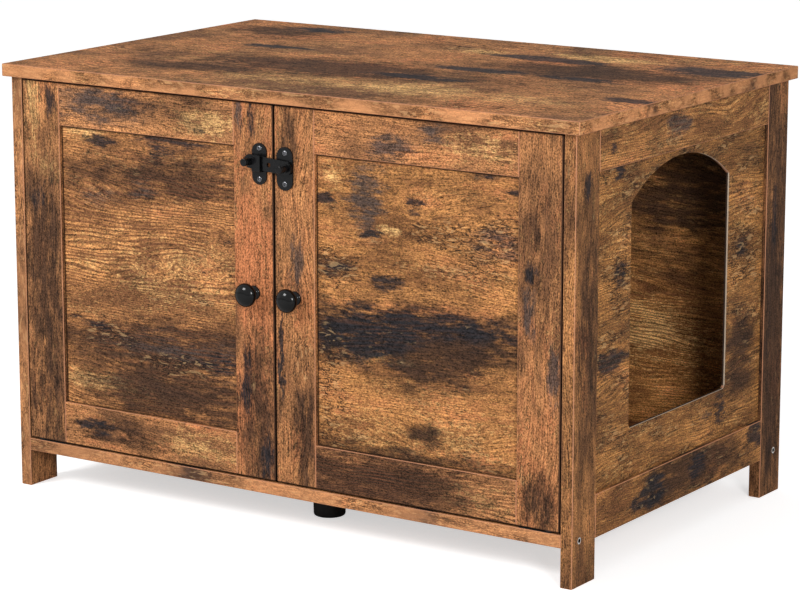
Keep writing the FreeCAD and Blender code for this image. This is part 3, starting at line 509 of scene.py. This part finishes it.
# %% The top, the bottom and the back
boards = {
    # On the top, Tone is partly the print's brightness and partly painted light: it is set to how
    # bright the top shows under the lamps.
    "top_panel": dict(
        grain="x", across="y", seed=1, band=0.8, spread=2.4, gloss=0.03,
        base={"Dark": 0.25, "Tone": 1.22, "Black": 0.1, "Red": 0.3, "Pale": 0.2}, stains=[
        ("Dark", -40, -60, 150, 50, 1.2), ("Black", 105, 148, 50, 16, 1.4),
        ("Black", 170, 144, 35, 14, 1.3), ("Black", 103, 23, 60, 13, 1.3),
        ("Black", 70, -65, 60, 14, 1.2), ("Black", 345, 156, 60, 26, 1.5),
        ("Black", 375, -90, 40, 13, 1.3), ("Cracks", 242, -219, 35, 10, 1.0),
        ("Black", -260, 215, 45, 16, 1.1), ("Black", -220, 60, 50, 12, 1.1),
        ("Dark", -300, 180, 60, 30, 0.9), ("Cracks", 0, 170, 50, 20, 1.0),
        ("Dark", 240, 80, 120, 40, 1.0), ("Pale", 180, 185, 60, 20, 1.2),
        ("Pale", 100, -150, 200, 40, 0.8), ("Black", 250, 20, 50, 12, 1.1),
        ("Pale", 20, 160, 40, 20, 0.8), ("Dark", -180, -140, 80, 20, 0.9)]),
    "bottom_panel": dict(
        grain="x", across="y", seed=2, band=0.6, base={"Dark": 0.2, "Tone": 1.05}, stains=[
        ("Black", -130, -238.5, 30, 50, 0.8), ("Black", 190, -238.5, 30, 50, 0.8)]),
    # The back is seen only through the entrance, in the cabinet's shade. Its Tone of 1.6 and its
    # base Pale are painted light, the pale place low on the left is a painted pool of light, and
    # the dark place high on the right is painted shade. Its other stains are the print.
    "back_panel": dict(
        grain="x", across="z", seed=3, base={"Tone": 1.6, "Pale": 0.2, "Gold": 0.8}, stains=[
        ("Pale", 190, 180, 80, 50, 0.7), ("Rings", 190, 190, 100, 60, 1.0),
        ("Dark", 260, 360, 120, 100, 0.8), ("Black", -240, 410, 60, 22, 1.0),
        ("Dark", -120, 300, 160, 40, 1.0), ("Black", 60, 220, 50, 20, 1.0),
        ("Dark", -260, 160, 110, 35, 1.0), ("Cracks", 20, 400, 60, 20, 1.0),
        ("Black", -60, 120, 70, 16, 0.9), ("Pale", -100, 200, 120, 30, 0.8)]),
}

print(len(boards), "boards")

# %% [markdown]
# ## The doors
# A door is a frame of two stiles and two rails round a thin panel that lies deeper. In the gap
# between them no light gets in. The shapes have that gap, but it is a tenth of a millimetre wide,
# so the boards carry a painted shadow along it, wider under the upper rail and beside the left
# stile. The doors' own edges, in the gaps round the doors, carry painted shade too.

# %% Painted shade of the doors
def panel_shadow_lines(left, right):
    """Painted shadow round a door's thin panel: a dark line, wider under the upper rail and beside
    the left stile, where the shadow of the light from the upper left falls."""
    return (("z", 451.5, -1, 3.4), ("z", 113.5, 1, 1.2), ("x", left, 1, 2.4), ("x", right, -1, 1.4))


# Painted shade along the gaps above and below the doors
upper_gap_shade, lower_gap_shade = ("z", 502.5, -1, 1.6), ("z", 62.5, 1, 1.6)


def stile_gap_shade(x, direction):
    """Painted shade in the gaps beside a stile: a dark line along its outer side and at its two
    ends.
    """
    return (("x", x, direction, 1.6), upper_gap_shade, lower_gap_shade)


print("the doors' dark lines are", upper_gap_shade[3], "mm wide")

# %% The left door
boards.update({
    "left_door_panel": dict(
        grain="x", across="z", seed=4, shade_lines=panel_shadow_lines(-320, -62.25),
        base={"Rings": 0.3, "Grey": 0.15, "Tone": 1.08, "Gold": 0.3, "Cracks": 0.1}, stains=[
        ("Black", -264, 438, 26, 7, 1.0), ("Black", -158, 445, 50, 8, 1.0),
        ("Black", -171, 431, 18, 6, 0.9), ("Dark", -180, 405, 150, 30, 0.7),
        ("Grey", -260, 370, 25, 10, 0.7), ("Grey", -200, 385, 25, 10, 0.6),
        ("Knots", -184, 293, 22, 12, 1.0), ("Knots", -108, 298, 20, 12, 1.0),
        ("Knots", -75, 333, 18, 14, 1.0), ("Black", -184, 293, 5, 4, 0.7),
        ("Black", -108, 297, 5, 4, 0.9), ("Black", -72, 333, 5, 8, 0.8),
        ("Rings", -180, 310, 170, 60, 1.0), ("Pale", -190, 290, 150, 45, 0.5),
        ("Pale", -268, 145, 50, 12, 0.9), ("Dark", -180, 205, 160, 24, 1.0),
        ("Grey", -150, 200, 120, 18, 0.5), ("Cracks", -246, 208, 40, 10, 1.0),
        ("Black", -280, 217, 30, 6, 0.8), ("Dark", -150, 140, 120, 42, 1.1),
        ("Black", -80, 185, 40, 18, 0.7), ("Pale", -290, 445, 30, 8, 0.9),
        ("Cracks", -150, 180, 60, 10, 0.8)]),
    "left_door_hinge_stile": dict(
        grain="z", across="x", seed=5, outer=("x", -1), shade_lines=stile_gap_shade(-375, 1),
        base={"Dark": 0.25}, stains=[
        ("Pale", 470, -362, 40, 10, 0.9), ("Black", 484, -334, 20, 14, 0.8),
        ("Dark", 308, -345, 75, 24, 0.8), ("Black", 368, -348, 20, 14, 0.6),
        ("Dark", 140, -347, 100, 24, 0.6), ("Pale", 400, -345, 20, 20, 0.5)]),
    "left_door_upper_rail": dict(
        grain="x", across="z", seed=6, outer=("z", 1), shade_lines=(upper_gap_shade,),
        base={"Grey": 0.15, "Tone": 1.12}, stains=[
        ("Grey", -265, 480, 70, 24, 0.8), ("Dark", -200, 485, 120, 20, 0.5),
        ("Pale", -100, 475, 50, 20, 0.7), ("Black", -110, 463, 14, 7, 0.5)]),
    "left_door_lower_rail": dict(
        grain="x", across="z", seed=7, outer=("z", -1), shade_lines=(lower_gap_shade,), base={"Red": 0.2},
        stains=[
        ("Black", -275, 92, 32, 9, 0.9), ("Dark", -250, 85, 70, 18, 0.6),
        ("Pale", -110, 85, 60, 18, 0.6)]),
    "left_door_lock_stile": dict(
        grain="z", across="x", seed=8, outer=("x", 1), shade_lines=stile_gap_shade(-7.25, -1),
        base={"Red": 0.5}, stains=[
        ("Black", 487, -38, 22, 5, 0.9), ("Grey", 485, -56, 25, 6, 0.9),
        ("Red", 315, -33, 60, 30, 0.8), ("Black", 212, -46, 16, 8, 0.8),
        ("Black", 166, -47, 26, 8, 1.0), ("Black", 87, -18, 32, 10, 0.8),
        ("Dark", 150, -30, 90, 30, 0.6)]),
})

print(len(boards), "boards")

# %% The right door
boards.update({
    "right_door_lock_stile": dict(
        grain="z", across="x", seed=9, outer=("x", -1), shade_lines=stile_gap_shade(-4.75, 1),
        base={"Red": 0.3, "Tone": 0.92, "Dark": 0.1}, stains=[
        ("Grey", 323, 24, 34, 11, 1.2), ("Black", 224, 3, 70, 2.5, 1.0),
        ("Cracks", 215, 35, 20, 12, 0.9), ("Dark", 130, 35, 50, 14, 0.9),
        ("Dark", 460, 15, 40, 10, 0.6)]),
    "right_door_upper_rail": dict(
        grain="x", across="z", seed=10, outer=("z", 1), shade_lines=(upper_gap_shade,), base={"Red": 0.3},
        stains=[
        ("Grey", 153, 469, 28, 15, 1.2), ("Grey", 209, 489, 22, 12, 1.0),
        ("Pale", 270, 475, 50, 20, 0.5)]),
    "right_door_panel": dict(
        grain="x", across="z", seed=11, shade_lines=panel_shadow_lines(50.25, 320),
        base={"Red": 0.2, "Tone": 0.98, "Gold": 0.55, "Cracks": 0.15}, stains=[
        ("Black", 64, 401, 13, 9, 1.0), ("Knots", 64, 401, 16, 12, 0.8),
        ("Grey", 118, 407, 22, 36, 1.3), ("Pale", 147, 372, 14, 6, 1.0),
        ("Black", 128, 367, 14, 5, 1.0), ("Black", 71, 323, 32, 12, 0.8),
        ("Cracks", 71, 323, 35, 18, 0.9), ("Black", 143, 313, 20, 10, 1.1),
        ("Black", 180, 406, 12, 12, 1.0), ("Knots", 180, 406, 20, 16, 1.0),
        ("Black", 276, 447, 24, 7, 0.7), ("Black", 311, 433, 14, 7, 0.8),
        ("Cracks", 223, 376, 35, 14, 1.0), ("Grey", 286, 373, 36, 22, 0.9),
        ("Cracks", 286, 373, 40, 26, 1.0), ("Black", 109, 248, 68, 32, 1.0),
        ("Black", 240, 272, 95, 18, 0.8), ("Dark", 190, 262, 140, 30, 1.2),
        ("Dark", 205, 220, 60, 22, 0.9), ("Cracks", 68, 173, 14, 60, 1.3),
        ("Pale", 203, 160, 120, 45, 0.4), ("Pale", 145, 226, 32, 7, 1.0),
        ("Dark", 200, 145, 18, 12, 1.2), ("Knots", 200, 145, 16, 12, 0.8),
        ("Pale", 75, 430, 20, 10, 0.8), ("Dark", 180, 118, 140, 8, 0.7)]),
    "right_door_hinge_stile": dict(
        grain="z", across="x", seed=12, outer=("x", 1), shade_lines=stile_gap_shade(375, -1),
        base={"Red": 0.4, "Tone": 0.9}, stains=[
        ("Black", 352, 337, 13, 9, 1.0), ("Grey", 304, 334, 24, 9, 1.3),
        ("Grey", 234, 367, 30, 9, 1.3), ("Dark", 89, 349, 30, 18, 1.0),
        ("Dark", 400, 345, 80, 20, 0.4)]),
    "right_door_lower_rail": dict(
        grain="x", across="z", seed=13, outer=("z", -1), shade_lines=(lower_gap_shade,),
        base={"Rings": 0.3, "Dark": 0.2, "Tone": 0.92}, stains=[
        ("Dark", 130, 88, 110, 30, 0.9), ("Rings", 110, 88, 70, 30, 0.7),
        ("Pale", 280, 85, 40, 20, 0.5)]),
})

print(len(boards), "boards")

# %% [markdown]
# ## The walls
# The right wall has the entrance and is seen in the picture. The left wall is not seen, so its
# stains are made up, of the same kinds and sizes.

# %% The right wall
boards.update({
    "right_front_post": dict(
        grain="z", across="y", seed=14, base={"Dark": 0.35, "Tone": 0.9, "Gold": 0.3}, stains=[
        ("Black", 443, -213, 14, 7, 1.0), ("Dark", 300, -210, 100, 20, 0.6)]),
    "right_rear_post": dict(
        grain="z", across="y", seed=15, base={"Dark": 0.6, "Tone": 0.88}, stains=[
        ("Black", 350, 225, 50, 8, 0.8), ("Dark", 200, 230, 150, 20, 0.6)]),
    "right_upper_rail": dict(
        grain="y", across="z", seed=16,
        base={"Pale": 0.3, "Tone": 1.06, "Rings": 0.3, "Gold": 0.6, "Dark": 0.25, "Cracks": 0.2},
        stains=[
        ("Grey", -15, 488, 26, 14, 1.1), ("Black", -160, 478, 8, 5, 0.8)]),
    "right_lower_rail": dict(
        grain="y", across="z", seed=17,
        base={"Tone": 1.04, "Gold": 0.8, "Dark": 0.35, "Cracks": 0.3, "Black": 0.1}, stains=[
        ("Black", -55, 72, 22, 22, 1.0), ("Black", 45, 80, 22, 16, 0.9),
        ("Dark", 40, 76, 80, 22, 1.0), ("Black", 190, 85, 22, 20, 1.0),
        ("Black", -90, 67, 12, 10, 0.9), ("Knots", -161, 84, 20, 14, 1.0),
        ("Rings", -150, 80, 40, 25, 1.0)]),
    "right_side_panel": dict(
        grain="y", across="z", seed=18, raw_cut=True,
        base={"Pale": 0.25, "Tone": 1.06, "Rings": 0.2, "Gold": 0.9, "Dark": 0.35, "Cracks": 0.35,
              "Black": 0.1},
        stains=[
        ("Black", -136, 449, 13, 11, 0.9), ("Black", -132, 335, 14, 16, 0.8),
        ("Cracks", -132, 330, 25, 30, 0.9), ("Cracks", 155, 313, 25, 30, 1.0),
        ("Black", 155, 318, 15, 12, 0.7), ("Black", 106, 130, 10, 22, 0.8),
        ("Grey", 71, 126, 14, 10, 0.8), ("Black", -143, 238, 34, 11, 1.0),
        ("Dark", 155, 200, 30, 50, 0.8)]),
})
print(len(boards), "boards")

# %% The left wall
boards.update({
    "left_front_post": dict(grain="z", across="y", seed=19, band=0.5, base={"Dark": 0.2}, stains=[
        ("Black", 330, -205, 30, 8, 1.0), ("Dark", 160, -210, 80, 20, 0.9)]),
    "left_rear_post": dict(grain="z", across="y", seed=20, band=0.5, base={"Dark": 0.3}, stains=[
        ("Black", 210, 232, 40, 8, 1.0), ("Dark", 400, 228, 70, 20, 0.8)]),
    "left_upper_rail": dict(
        grain="y", across="z", seed=21, base={"Dark": 0.2, "Gold": 0.4}, stains=[
        ("Black", 80, 480, 30, 12, 1.0), ("Grey", -90, 485, 30, 14, 1.0)]),
    "left_lower_rail": dict(
        grain="y", across="z", seed=22, base={"Dark": 0.2, "Gold": 0.4}, stains=[
        ("Black", -50, 82, 24, 14, 1.0), ("Black", 110, 75, 22, 12, 0.9)]),
    "left_side_panel": dict(
        grain="y", across="z", seed=23, base={"Dark": 0.2, "Gold": 0.5, "Cracks": 0.2}, stains=[
        ("Black", 60, 380, 50, 18, 1.0), ("Black", -110, 250, 30, 14, 1.0),
        ("Dark", 20, 200, 130, 30, 1.1), ("Black", 130, 180, 40, 16, 1.0),
        ("Rings", -20, 300, 120, 50, 1.0), ("Pale", -80, 350, 60, 20, 0.8),
        ("Cracks", 120, 290, 40, 30, 1.0)]),
})

for node, facts in boards.items():
    dress(node, rustic_board(node, **facts))
print(len(boards), "boards,", sum(len(facts["stains"]) for facts in boards.values()), "stains")

# %% [markdown]
# ## Metal and plastic
# The latch, its screws and the knobs are black, but not the same black: the knobs are glossy and
# the latch is a satin powder coat. A plain black would look like a hole in the picture. Each gets
# a colour and a roughness that drift a little, and a fine bump for the grain of the coat. The
# bolts in the leg boards have a socket for a key. It is not cut: the shade in it is painted, a dark
# round place in their material.

# %% Hardware materials
# The shade in the bolts' sockets is painted with this colour.
painted_socket_shade = paint(22, 21, 21)


def socket_shade_share(r, place, sockets):
    """Where the bolts' sockets get their painted shade: 1 inside the sockets of bolts along x, 0
    outside. sockets is (two places on y, the height, the radius), and the share steps down where
    the distance from the nearer axis passes the radius."""
    (front, rear), rise, radius = sockets
    x, y, z = r.split(place)
    aside = r.sum("MINIMUM", r.sum("ABSOLUTE", r.sum("SUBTRACT", y, front)),
                  r.sum("ABSOLUTE", r.sum("SUBTRACT", y, rear)))
    off_axis = r.put("VectorMath", {0: r.join(0.0, aside, r.sum("SUBTRACT", z, rise))},
                     operation="LENGTH").outputs[1]
    return r.between(off_axis, 0.9 * radius, 1.05 * radius, 1.0, 0.0)


def coated(name, dark, light, grain_size, roughness, relief, metallic=0.0, specular=0.5,
           sockets=None):
    """A finish that drifts between two colours. grain_size is the size of its speckle in metres,
    roughness the two ends that its roughness drifts between, and relief its bump in metres."""
    material = bpy.data.materials.new(name)
    r = blank(material)
    place = r.put("TexCoord", {}).outputs["Object"]
    speckle = r.noise(r.stretched(place, *[1 / grain_size] * 3), detail=2.0)
    drift = r.noise(r.stretched(place, *[0.12 / grain_size] * 3), detail=3.0)
    both = r.total((speckle, 0.5), (drift, 0.5))
    colour = r.mix(r.between(both, 0.35, 0.65), dark, light)
    # painted shade in the bolts' sockets
    if sockets:
        colour = r.mix(socket_shade_share(r, place, sockets), colour, painted_socket_shade)
    bump = r.put("Bump", {"Height": speckle, "Strength": 0.6, "Distance": relief})
    surface = r.put("BsdfPrincipled", {"Base Color": colour, "Metallic": metallic,
                                       "Specular IOR Level": specular,
                                       "Roughness": r.between(drift, 0.3, 0.7, *roughness),
                                       "Normal": bump.outputs[0]})
    r.show("Material", surface)
    return material


finishes = {
    "black_gloss": coated("gloss_black", paint(4, 4, 4), paint(9, 9, 9), 0.002, (0.12, 0.18),
                          0.000006, specular=0.22),
    "black_satin_metal": coated("satin_black_coat", paint(8, 8, 9), paint(17, 17, 18), 0.0006,
                                (0.20, 0.30), 0.00002, specular=0.2),
    "black_nickel_screw": coated("black_nickel", paint(70, 70, 72), paint(120, 120, 124), 0.0008,
                                 (0.18, 0.3), 0.00001, metallic=1.0),
    "black_plastic": coated("matt_black_plastic", paint(9, 9, 9), paint(18, 18, 17), 0.0008,
                            (0.45, 0.6), 0.00005, specular=0.2),
    "magnet": coated("ferrite", paint(52, 52, 55), paint(74, 74, 78), 0.0005, (0.5, 0.6), 0.00003),
    "cast_zinc": coated("cast_zinc", paint(176, 176, 180), paint(205, 205, 208), 0.001, (0.35, 0.5),
                        0.00004, metallic=1.0),
    "nylon": coated("black_nylon", paint(12, 12, 12), paint(20, 20, 20), 0.001, (0.42, 0.52),
                    0.00002),
    "zinc_steel": coated("zinc_steel", paint(214, 214, 212), paint(240, 240, 238), 0.0008,
                         (0.25, 0.4), 0.00002, metallic=1.0),
    "beech_peg": coated("beech", paint(196, 156, 108), paint(222, 188, 142), 0.0012, (0.55, 0.7),
                        0.00006),
}
print(len(finishes), "finishes")

# %% Finishes for the fixings
bolt_sockets = ((-0.2225, 0.2395), 0.0525, 0.0025)
wall_bolt_steel = coated("wall_bolt_steel", paint(226, 226, 222), paint(246, 246, 242), 0.0008,
                         (0.25, 0.4), 0.00001, metallic=1.0, sockets=bolt_sockets)
fixings = [part for part in frame["record"]["subparts"] if part["node"] not in boards]
for part in fixings:
    on_wall = part["node"] == "wall_bolts"
    dress(part["node"], wall_bolt_steel if on_wall else finishes[part["material_slot"]])
print(len(fixings), "fixings and fittings have their finish")

# %% [markdown]
# ## Turned pieces
# Knobs, rivets, screws and the foot are turned on a lathe, or moulded round. In the CAD model they
# have a few flat sides, enough for a collision model. Here each is made again as a smooth surface:
# an outline, carried round an axis. The outline is given by a few corner points, and cutting its
# corners twice makes a soft curve of them. A Spin in the editor does the same, but a grid of
# numbers is exact and closes its poles. A surface like this needs no modifier, and every face of
# it points outwards.

# %% Lathe
def softened(outline, rounds):
    """The outline with its corners cut: every run keeps the points at a quarter and at three
    quarters of its length, and the two ends stay."""
    for _ in range(rounds):
        start, end = outline[:-1], outline[1:]
        kept = np.stack([0.75 * start + 0.25 * end, 0.25 * start + 0.75 * end], axis=1)
        outline = np.concatenate([outline[:1], kept.reshape(-1, 2), outline[-1:]])
    return outline


def turned(outline, place, axis, steps=64, dent=None):
    """A surface of revolution. Point (i, j) is place + axis * height[i] + radius[i] * (cos(t[j]) *
    side + sin(t[j]) * other). The outline's rows are (radius, height), and its first and last
    radius are 0, where the ring becomes one point. dent(x, y) is taken off the height of the rows
    past the widest one."""
    axis, place = np.array(axis, float), np.array(place, float)
    side = np.cross(axis, [1.0, 0.0, 0.0] if abs(axis[0]) < 0.5 else [0.0, 0.0, 1.0])
    side /= np.linalg.norm(side)
    other = np.cross(axis, side)
    radius, height = outline[1:-1, 0], outline[1:-1, 1]
    angle = np.arange(steps) * 2 * math.pi / steps
    x, y = np.outer(radius, np.cos(angle)), np.outer(radius, np.sin(angle))
    raised = np.repeat(height[:, None], steps, axis=1)
    top = outline[-1, 1]
    if dent is not None:
        # of rows that are equally wide, the highest counts as the widest
        on_top = np.arange(len(radius)) > np.argmax(radius + 1e-3 * height)
        raised = raised - dent(x, y) * on_top[:, None]
        top = top - float(dent(np.zeros(1), np.zeros(1))[0])
    grid = place + raised[..., None] * axis + x[..., None] * side + y[..., None] * other
    rows = len(radius)
    poles = [place + outline[0, 1] * axis, place + top * axis]
    points = np.concatenate([grid.reshape(-1, 3), poles])
    here = np.arange(steps)
    nxt = (here + 1) % steps
    low = (np.arange(rows - 1) * steps)[:, None]
    quads = np.stack([low + here, low + nxt, low + steps + nxt, low + steps + here], axis=-1)
    quads = quads.reshape(-1, 4)
    last = (rows - 1) * steps
    foot = np.stack([np.full(steps, rows * steps), nxt, here], axis=1)
    cap = np.stack([np.full(steps, rows * steps + 1), last + here, last + nxt], axis=1)
    return points, quads.tolist() + foot.tolist() + cap.tolist()


knob_sharpness, usual_sharpness = 50.0, 38.0


def make_piece(name, shapes, body, slot, stands_for, sharp_degrees=usual_sharpness):
    """Joins shapes into one mesh, gives it its finish and lets it ride on a body."""
    points, faces, count = [], [], 0
    for shape_points, shape_faces in shapes:
        points.append(shape_points)
        faces += [[index + count for index in face] for face in shape_faces]
        count += len(shape_points)
    mesh = bpy.data.meshes.new(name)
    mesh.from_pydata(np.concatenate(points).tolist(), [], faces)
    mesh.polygons.foreach_set("use_smooth", [True] * len(mesh.polygons))
    mesh.set_sharp_from_angle(angle=math.radians(sharp_degrees))
    mesh.materials.append(finishes[slot])
    piece = bpy.data.objects.new(name, mesh)
    bpy.context.scene.collection.objects.link(piece)
    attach(piece, body)
    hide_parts(stands_for)
    print(name, count, "points,", len(faces), "faces")


def node_box(node):
    """A node's lowest and highest corner as arrays."""
    low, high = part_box(node)
    return np.array(low), np.array(high)

# %% [markdown]
# ## The knobs
# Each knob is a turned mushroom: a flared base on the door, a narrow waist, a ring, and a low
# domed head. The door's face is where the node's box ends at the back, and the axis runs through
# its middle.

# %% Knobs
knob_outline = np.array([
    (0.0, 0.0), (8.3, 0.0), (8.4, 0.1), (8.4, 1.5), (8.0, 2.1), (5.9, 3.6), (5.1, 6.0), (5.0, 8.6),
    (6.4, 10.4), (9.6, 10.8), (10.2, 11.6), (10.2, 12.6), (9.7, 13.3), (9.8, 13.7), (12.8, 14.4),
    (14.0, 15.8), (14.0, 17.9), (13.1, 20.2), (10.6, 22.6), (6.6, 24.5), (2.6, 25.0), (0.0, 25.0),
]) * MM
for side in ("left", "right"):
    low, high = node_box(side + "_knob")
    seat = [(low[0] + high[0]) / 2, high[1], (low[2] + high[2]) / 2]
    make_piece(side + "_knob_turned", [turned(softened(knob_outline, 2), seat, (0, -1, 0))],
               side + "_door", "black_gloss", side + "_knob", sharp_degrees=knob_sharpness)

# %% [markdown]
# ## The foot
# The middle foot is a moulded black plug, a little wider at the top, with a rounded edge at the
# floor.

# %% Foot
low, high = node_box("centre_foot")
foot_outline = np.array([
    (0.0, 0.0), (14.0, 0.0), (17.4, 0.0), (18.9, 1.4), (19.1, 4.0), (19.3, 20.0), (19.7, 38.0),
    (20.0, 39.2), (20.5, 39.6), (20.5, 41.0), (20.5, 45.0), (20.4, 45.0), (0.0, 45.0)]) * MM
on_floor = [(low[0] + high[0]) / 2, (low[1] + high[1]) / 2, 0.0]
make_piece("centre_foot_moulded", [turned(softened(foot_outline, 2), on_floor, (0, 0, 1))],
           "root", "black_plastic", "centre_foot")

# %% [markdown]
# ## The latch's rivets and screws
# The stud that the bar turns on and the small knob that lifts it are turned too, with a softened
# rim. The four screws have raised heads with a cross recess. The recess is a dent in the head's
# surface: two crossed slots that are deepest in the middle.

# %% Stud and lifting knob
def round_post(steps_up, rim, reach):
    """A post of (radius, height) steps in millimetres that ends, at the height reach, in a face
    with a rim as wide as it is high. The rim's two middle points lie near a quarter circle."""
    radius = steps_up[-1][0]
    rise = [(radius, reach - rim), (radius - 0.12 * rim, reach - 0.55 * rim),
            (radius - 0.42 * rim, reach - 0.16 * rim), (radius - rim, reach),
            (0.6 * (radius - rim), reach), (0.0, reach)]
    return np.array(steps_up + rise) * MM


low, high = node_box("latch_pivot_stud")
stud_seat = [(low[0] + high[0]) / 2, high[1], (low[2] + high[2]) / 2]
stud_steps = [(0.0, 0.0), (2.4, 0.0), (2.4, 1.8), (6.2, 1.8), (6.2, 2.7), (5.9, 3.0), (3.0, 3.0),
              (3.0, 5.7), (4.2, 5.7), (4.5, 6.0), (4.5, 16.0), (4.25, 16.2), (4.25, 16.7),
              (4.5, 16.9)]
rim_width, stud_reach, lift_reach, lift_tail = 0.9, 19.0, 18.4, 3.15
make_piece("latch_stud_turned",
           [turned(round_post(stud_steps, rim_width, stud_reach), stud_seat, (0, -1, 0))],
           "right_door", "black_satin_metal", "latch_pivot_stud")

low, high = node_box("latch_lift_knob")
lift_seat = [(low[0] + high[0]) / 2, high[1] + lift_tail * MM, (low[2] + high[2]) / 2]
lift_steps = [(0.0, lift_tail), (2.0, lift_tail), (2.0, 5.55), (4.2, 5.55), (4.5, 5.85),
              (4.5, 15.4), (4.25, 15.6), (4.25, 16.1), (4.5, 16.3)]
make_piece("latch_lift_knob_turned",
           [turned(round_post(lift_steps, rim_width, lift_reach), lift_seat, (0, -1, 0))],
           "latch_swing_bar", "black_satin_metal", "latch_lift_knob")

# %% Latch screws
slot_half_width, slot_half_length, slot_depth = 0.42 * MM, 1.9 * MM, 0.9 * MM
slot_wall, slot_ramp = 0.22 * MM, 0.9 * MM


def cross_recess(x, y):
    """Two crossed slots: full depth inside both half widths, fading out at their ends and walls."""
    def arm(a, b):
        wall = np.clip((slot_half_width - np.abs(a)) / slot_wall + 0.5, 0, 1)
        end = np.clip((slot_half_length - np.abs(b)) / slot_ramp, 0, 1)
        return wall * end
    return slot_depth * np.maximum(arm(x, y), arm(y, x))


# the head's rise over its radius: rim height + crown * (1 - (radius / widest)^2)^0.7
widest, rim_height, crown = 3.3, 1.8, 0.9
door_face = -0.2385
head_radius = np.linspace(3.2, 0.12, 22)
head_rise = rim_height + crown * (1 - (head_radius / widest) ** 2) ** 0.7
screw_outline = np.concatenate([[(0.0, -11.5), (1.5, -10.0), (1.5, 0.6), (widest, 1.75)],
                                np.stack([head_radius, head_rise], axis=1),
                                [(0.0, rim_height + crown)]]) * MM
for node, door in (("latch_keeper_screws", "left_door"), ("latch_pivot_screws", "right_door")):
    low, high = node_box(node)
    middle, half = (low[0] + high[0]) / 2, (high[0] - low[0]) / 2
    seats = [[middle, door_face, low[2] + half], [middle, door_face, high[2] - half]]
    screws = [turned(screw_outline, seat, (0, -1, 0), dent=cross_recess) for seat in seats]
    make_piece(node + "_turned", screws, door, "black_nickel_screw", node)

# %% [markdown]
# ## The floor and the light
# A product photograph like this one is lit by large soft boxes from all sides, so it has no hard
# shadow. A world of even pale light does most of that, and two large soft lamps add the direction:
# one from the upper left front, one from the lower right front. A small third lamp puts the sharp
# highlights on the knobs and the latch. The floor is near white, and for the camera alone it glows
# a little, so that it meets the white background without a line, while it still shows the
# cabinet's soft shadow.

# %% Floor
floor_mesh = bpy.data.meshes.new("floor")
floor_half, floor_grey, floor_glow = 30.0, 0.86, 0.56
corners = np.array([[-1, -1, 0], [1, -1, 0], [1, 1, 0], [-1, 1, 0]]) * floor_half
floor_mesh.from_pydata(corners.tolist(), [], [[0, 1, 2, 3]])
floor = bpy.data.objects.new("floor", floor_mesh)
bpy.context.scene.collection.objects.link(floor)

floor_look = bpy.data.materials.new("pale_floor")
r = blank(floor_look)
seen = r.put("LightPath", {}).outputs
diffuse = r.put("BsdfDiffuse", {"Color": (floor_grey, floor_grey, floor_grey, 1.0)})
glow = r.put("Emission", {"Color": (1.0, 1.0, 1.0, 1.0),
                          "Strength": r.sum("MULTIPLY", seen["Is Camera Ray"], floor_glow)})
r.show("Material", r.put("AddShader", {0: diffuse.outputs[0], 1: glow.outputs[0]}))
floor_mesh.materials.append(floor_look)
print("floor", 2 * floor_half, "m wide")

# %% World and lamps
world = bpy.data.worlds.new("studio")
bpy.context.scene.world = world
r = blank(world)
seen = r.put("LightPath", {}).outputs
straight = r.sum("MAXIMUM", seen["Is Camera Ray"], seen["Is Glossy Ray"])
straight = r.sum("MAXIMUM", straight, seen["Is Transmission Ray"])
world_light = 0.48
strength = r.total((straight, 1.0 - world_light), (1.0, world_light))
r.show("World", r.put("Background", {"Color": (1.0, 1.0, 1.0, 1.0), "Strength": strength}))


def soft_lamp(name, place, aim, size, power):
    """A square lamp that faces a point."""
    data = bpy.data.lights.new(name, "AREA")
    data.size = size
    data.energy = power
    lamp = bpy.data.objects.new(name, data)
    back = np.array(place, float) - np.array(aim, float)
    back /= np.linalg.norm(back)
    side = np.cross([0.0, 0.0, 1.0], back)
    side /= np.linalg.norm(side)
    turned_to = np.eye(4)
    turned_to[:3, :3] = np.stack([side, np.cross(back, side), back], axis=1)
    turned_to[:3, 3] = place
    lamp.matrix_world = Matrix(turned_to.tolist())
    bpy.context.scene.collection.objects.link(lamp)


cabinet_middle, latch_area = (0.0, 0.0, 0.25), (0.0, -0.2, 0.3)
soft_lamp("key", (-1.4, -3.0, 2.4), cabinet_middle, 1.0, 70.0)
soft_lamp("fill", (2.7, -2.3, 1.35), cabinet_middle, 0.8, 64.0)
soft_lamp("glint", (-0.7, -2.4, 1.9), latch_area, 0.35, 5.0)
bpy.context.scene.view_settings.view_transform = "Standard"
print("world light", world_light, "and three lamps")
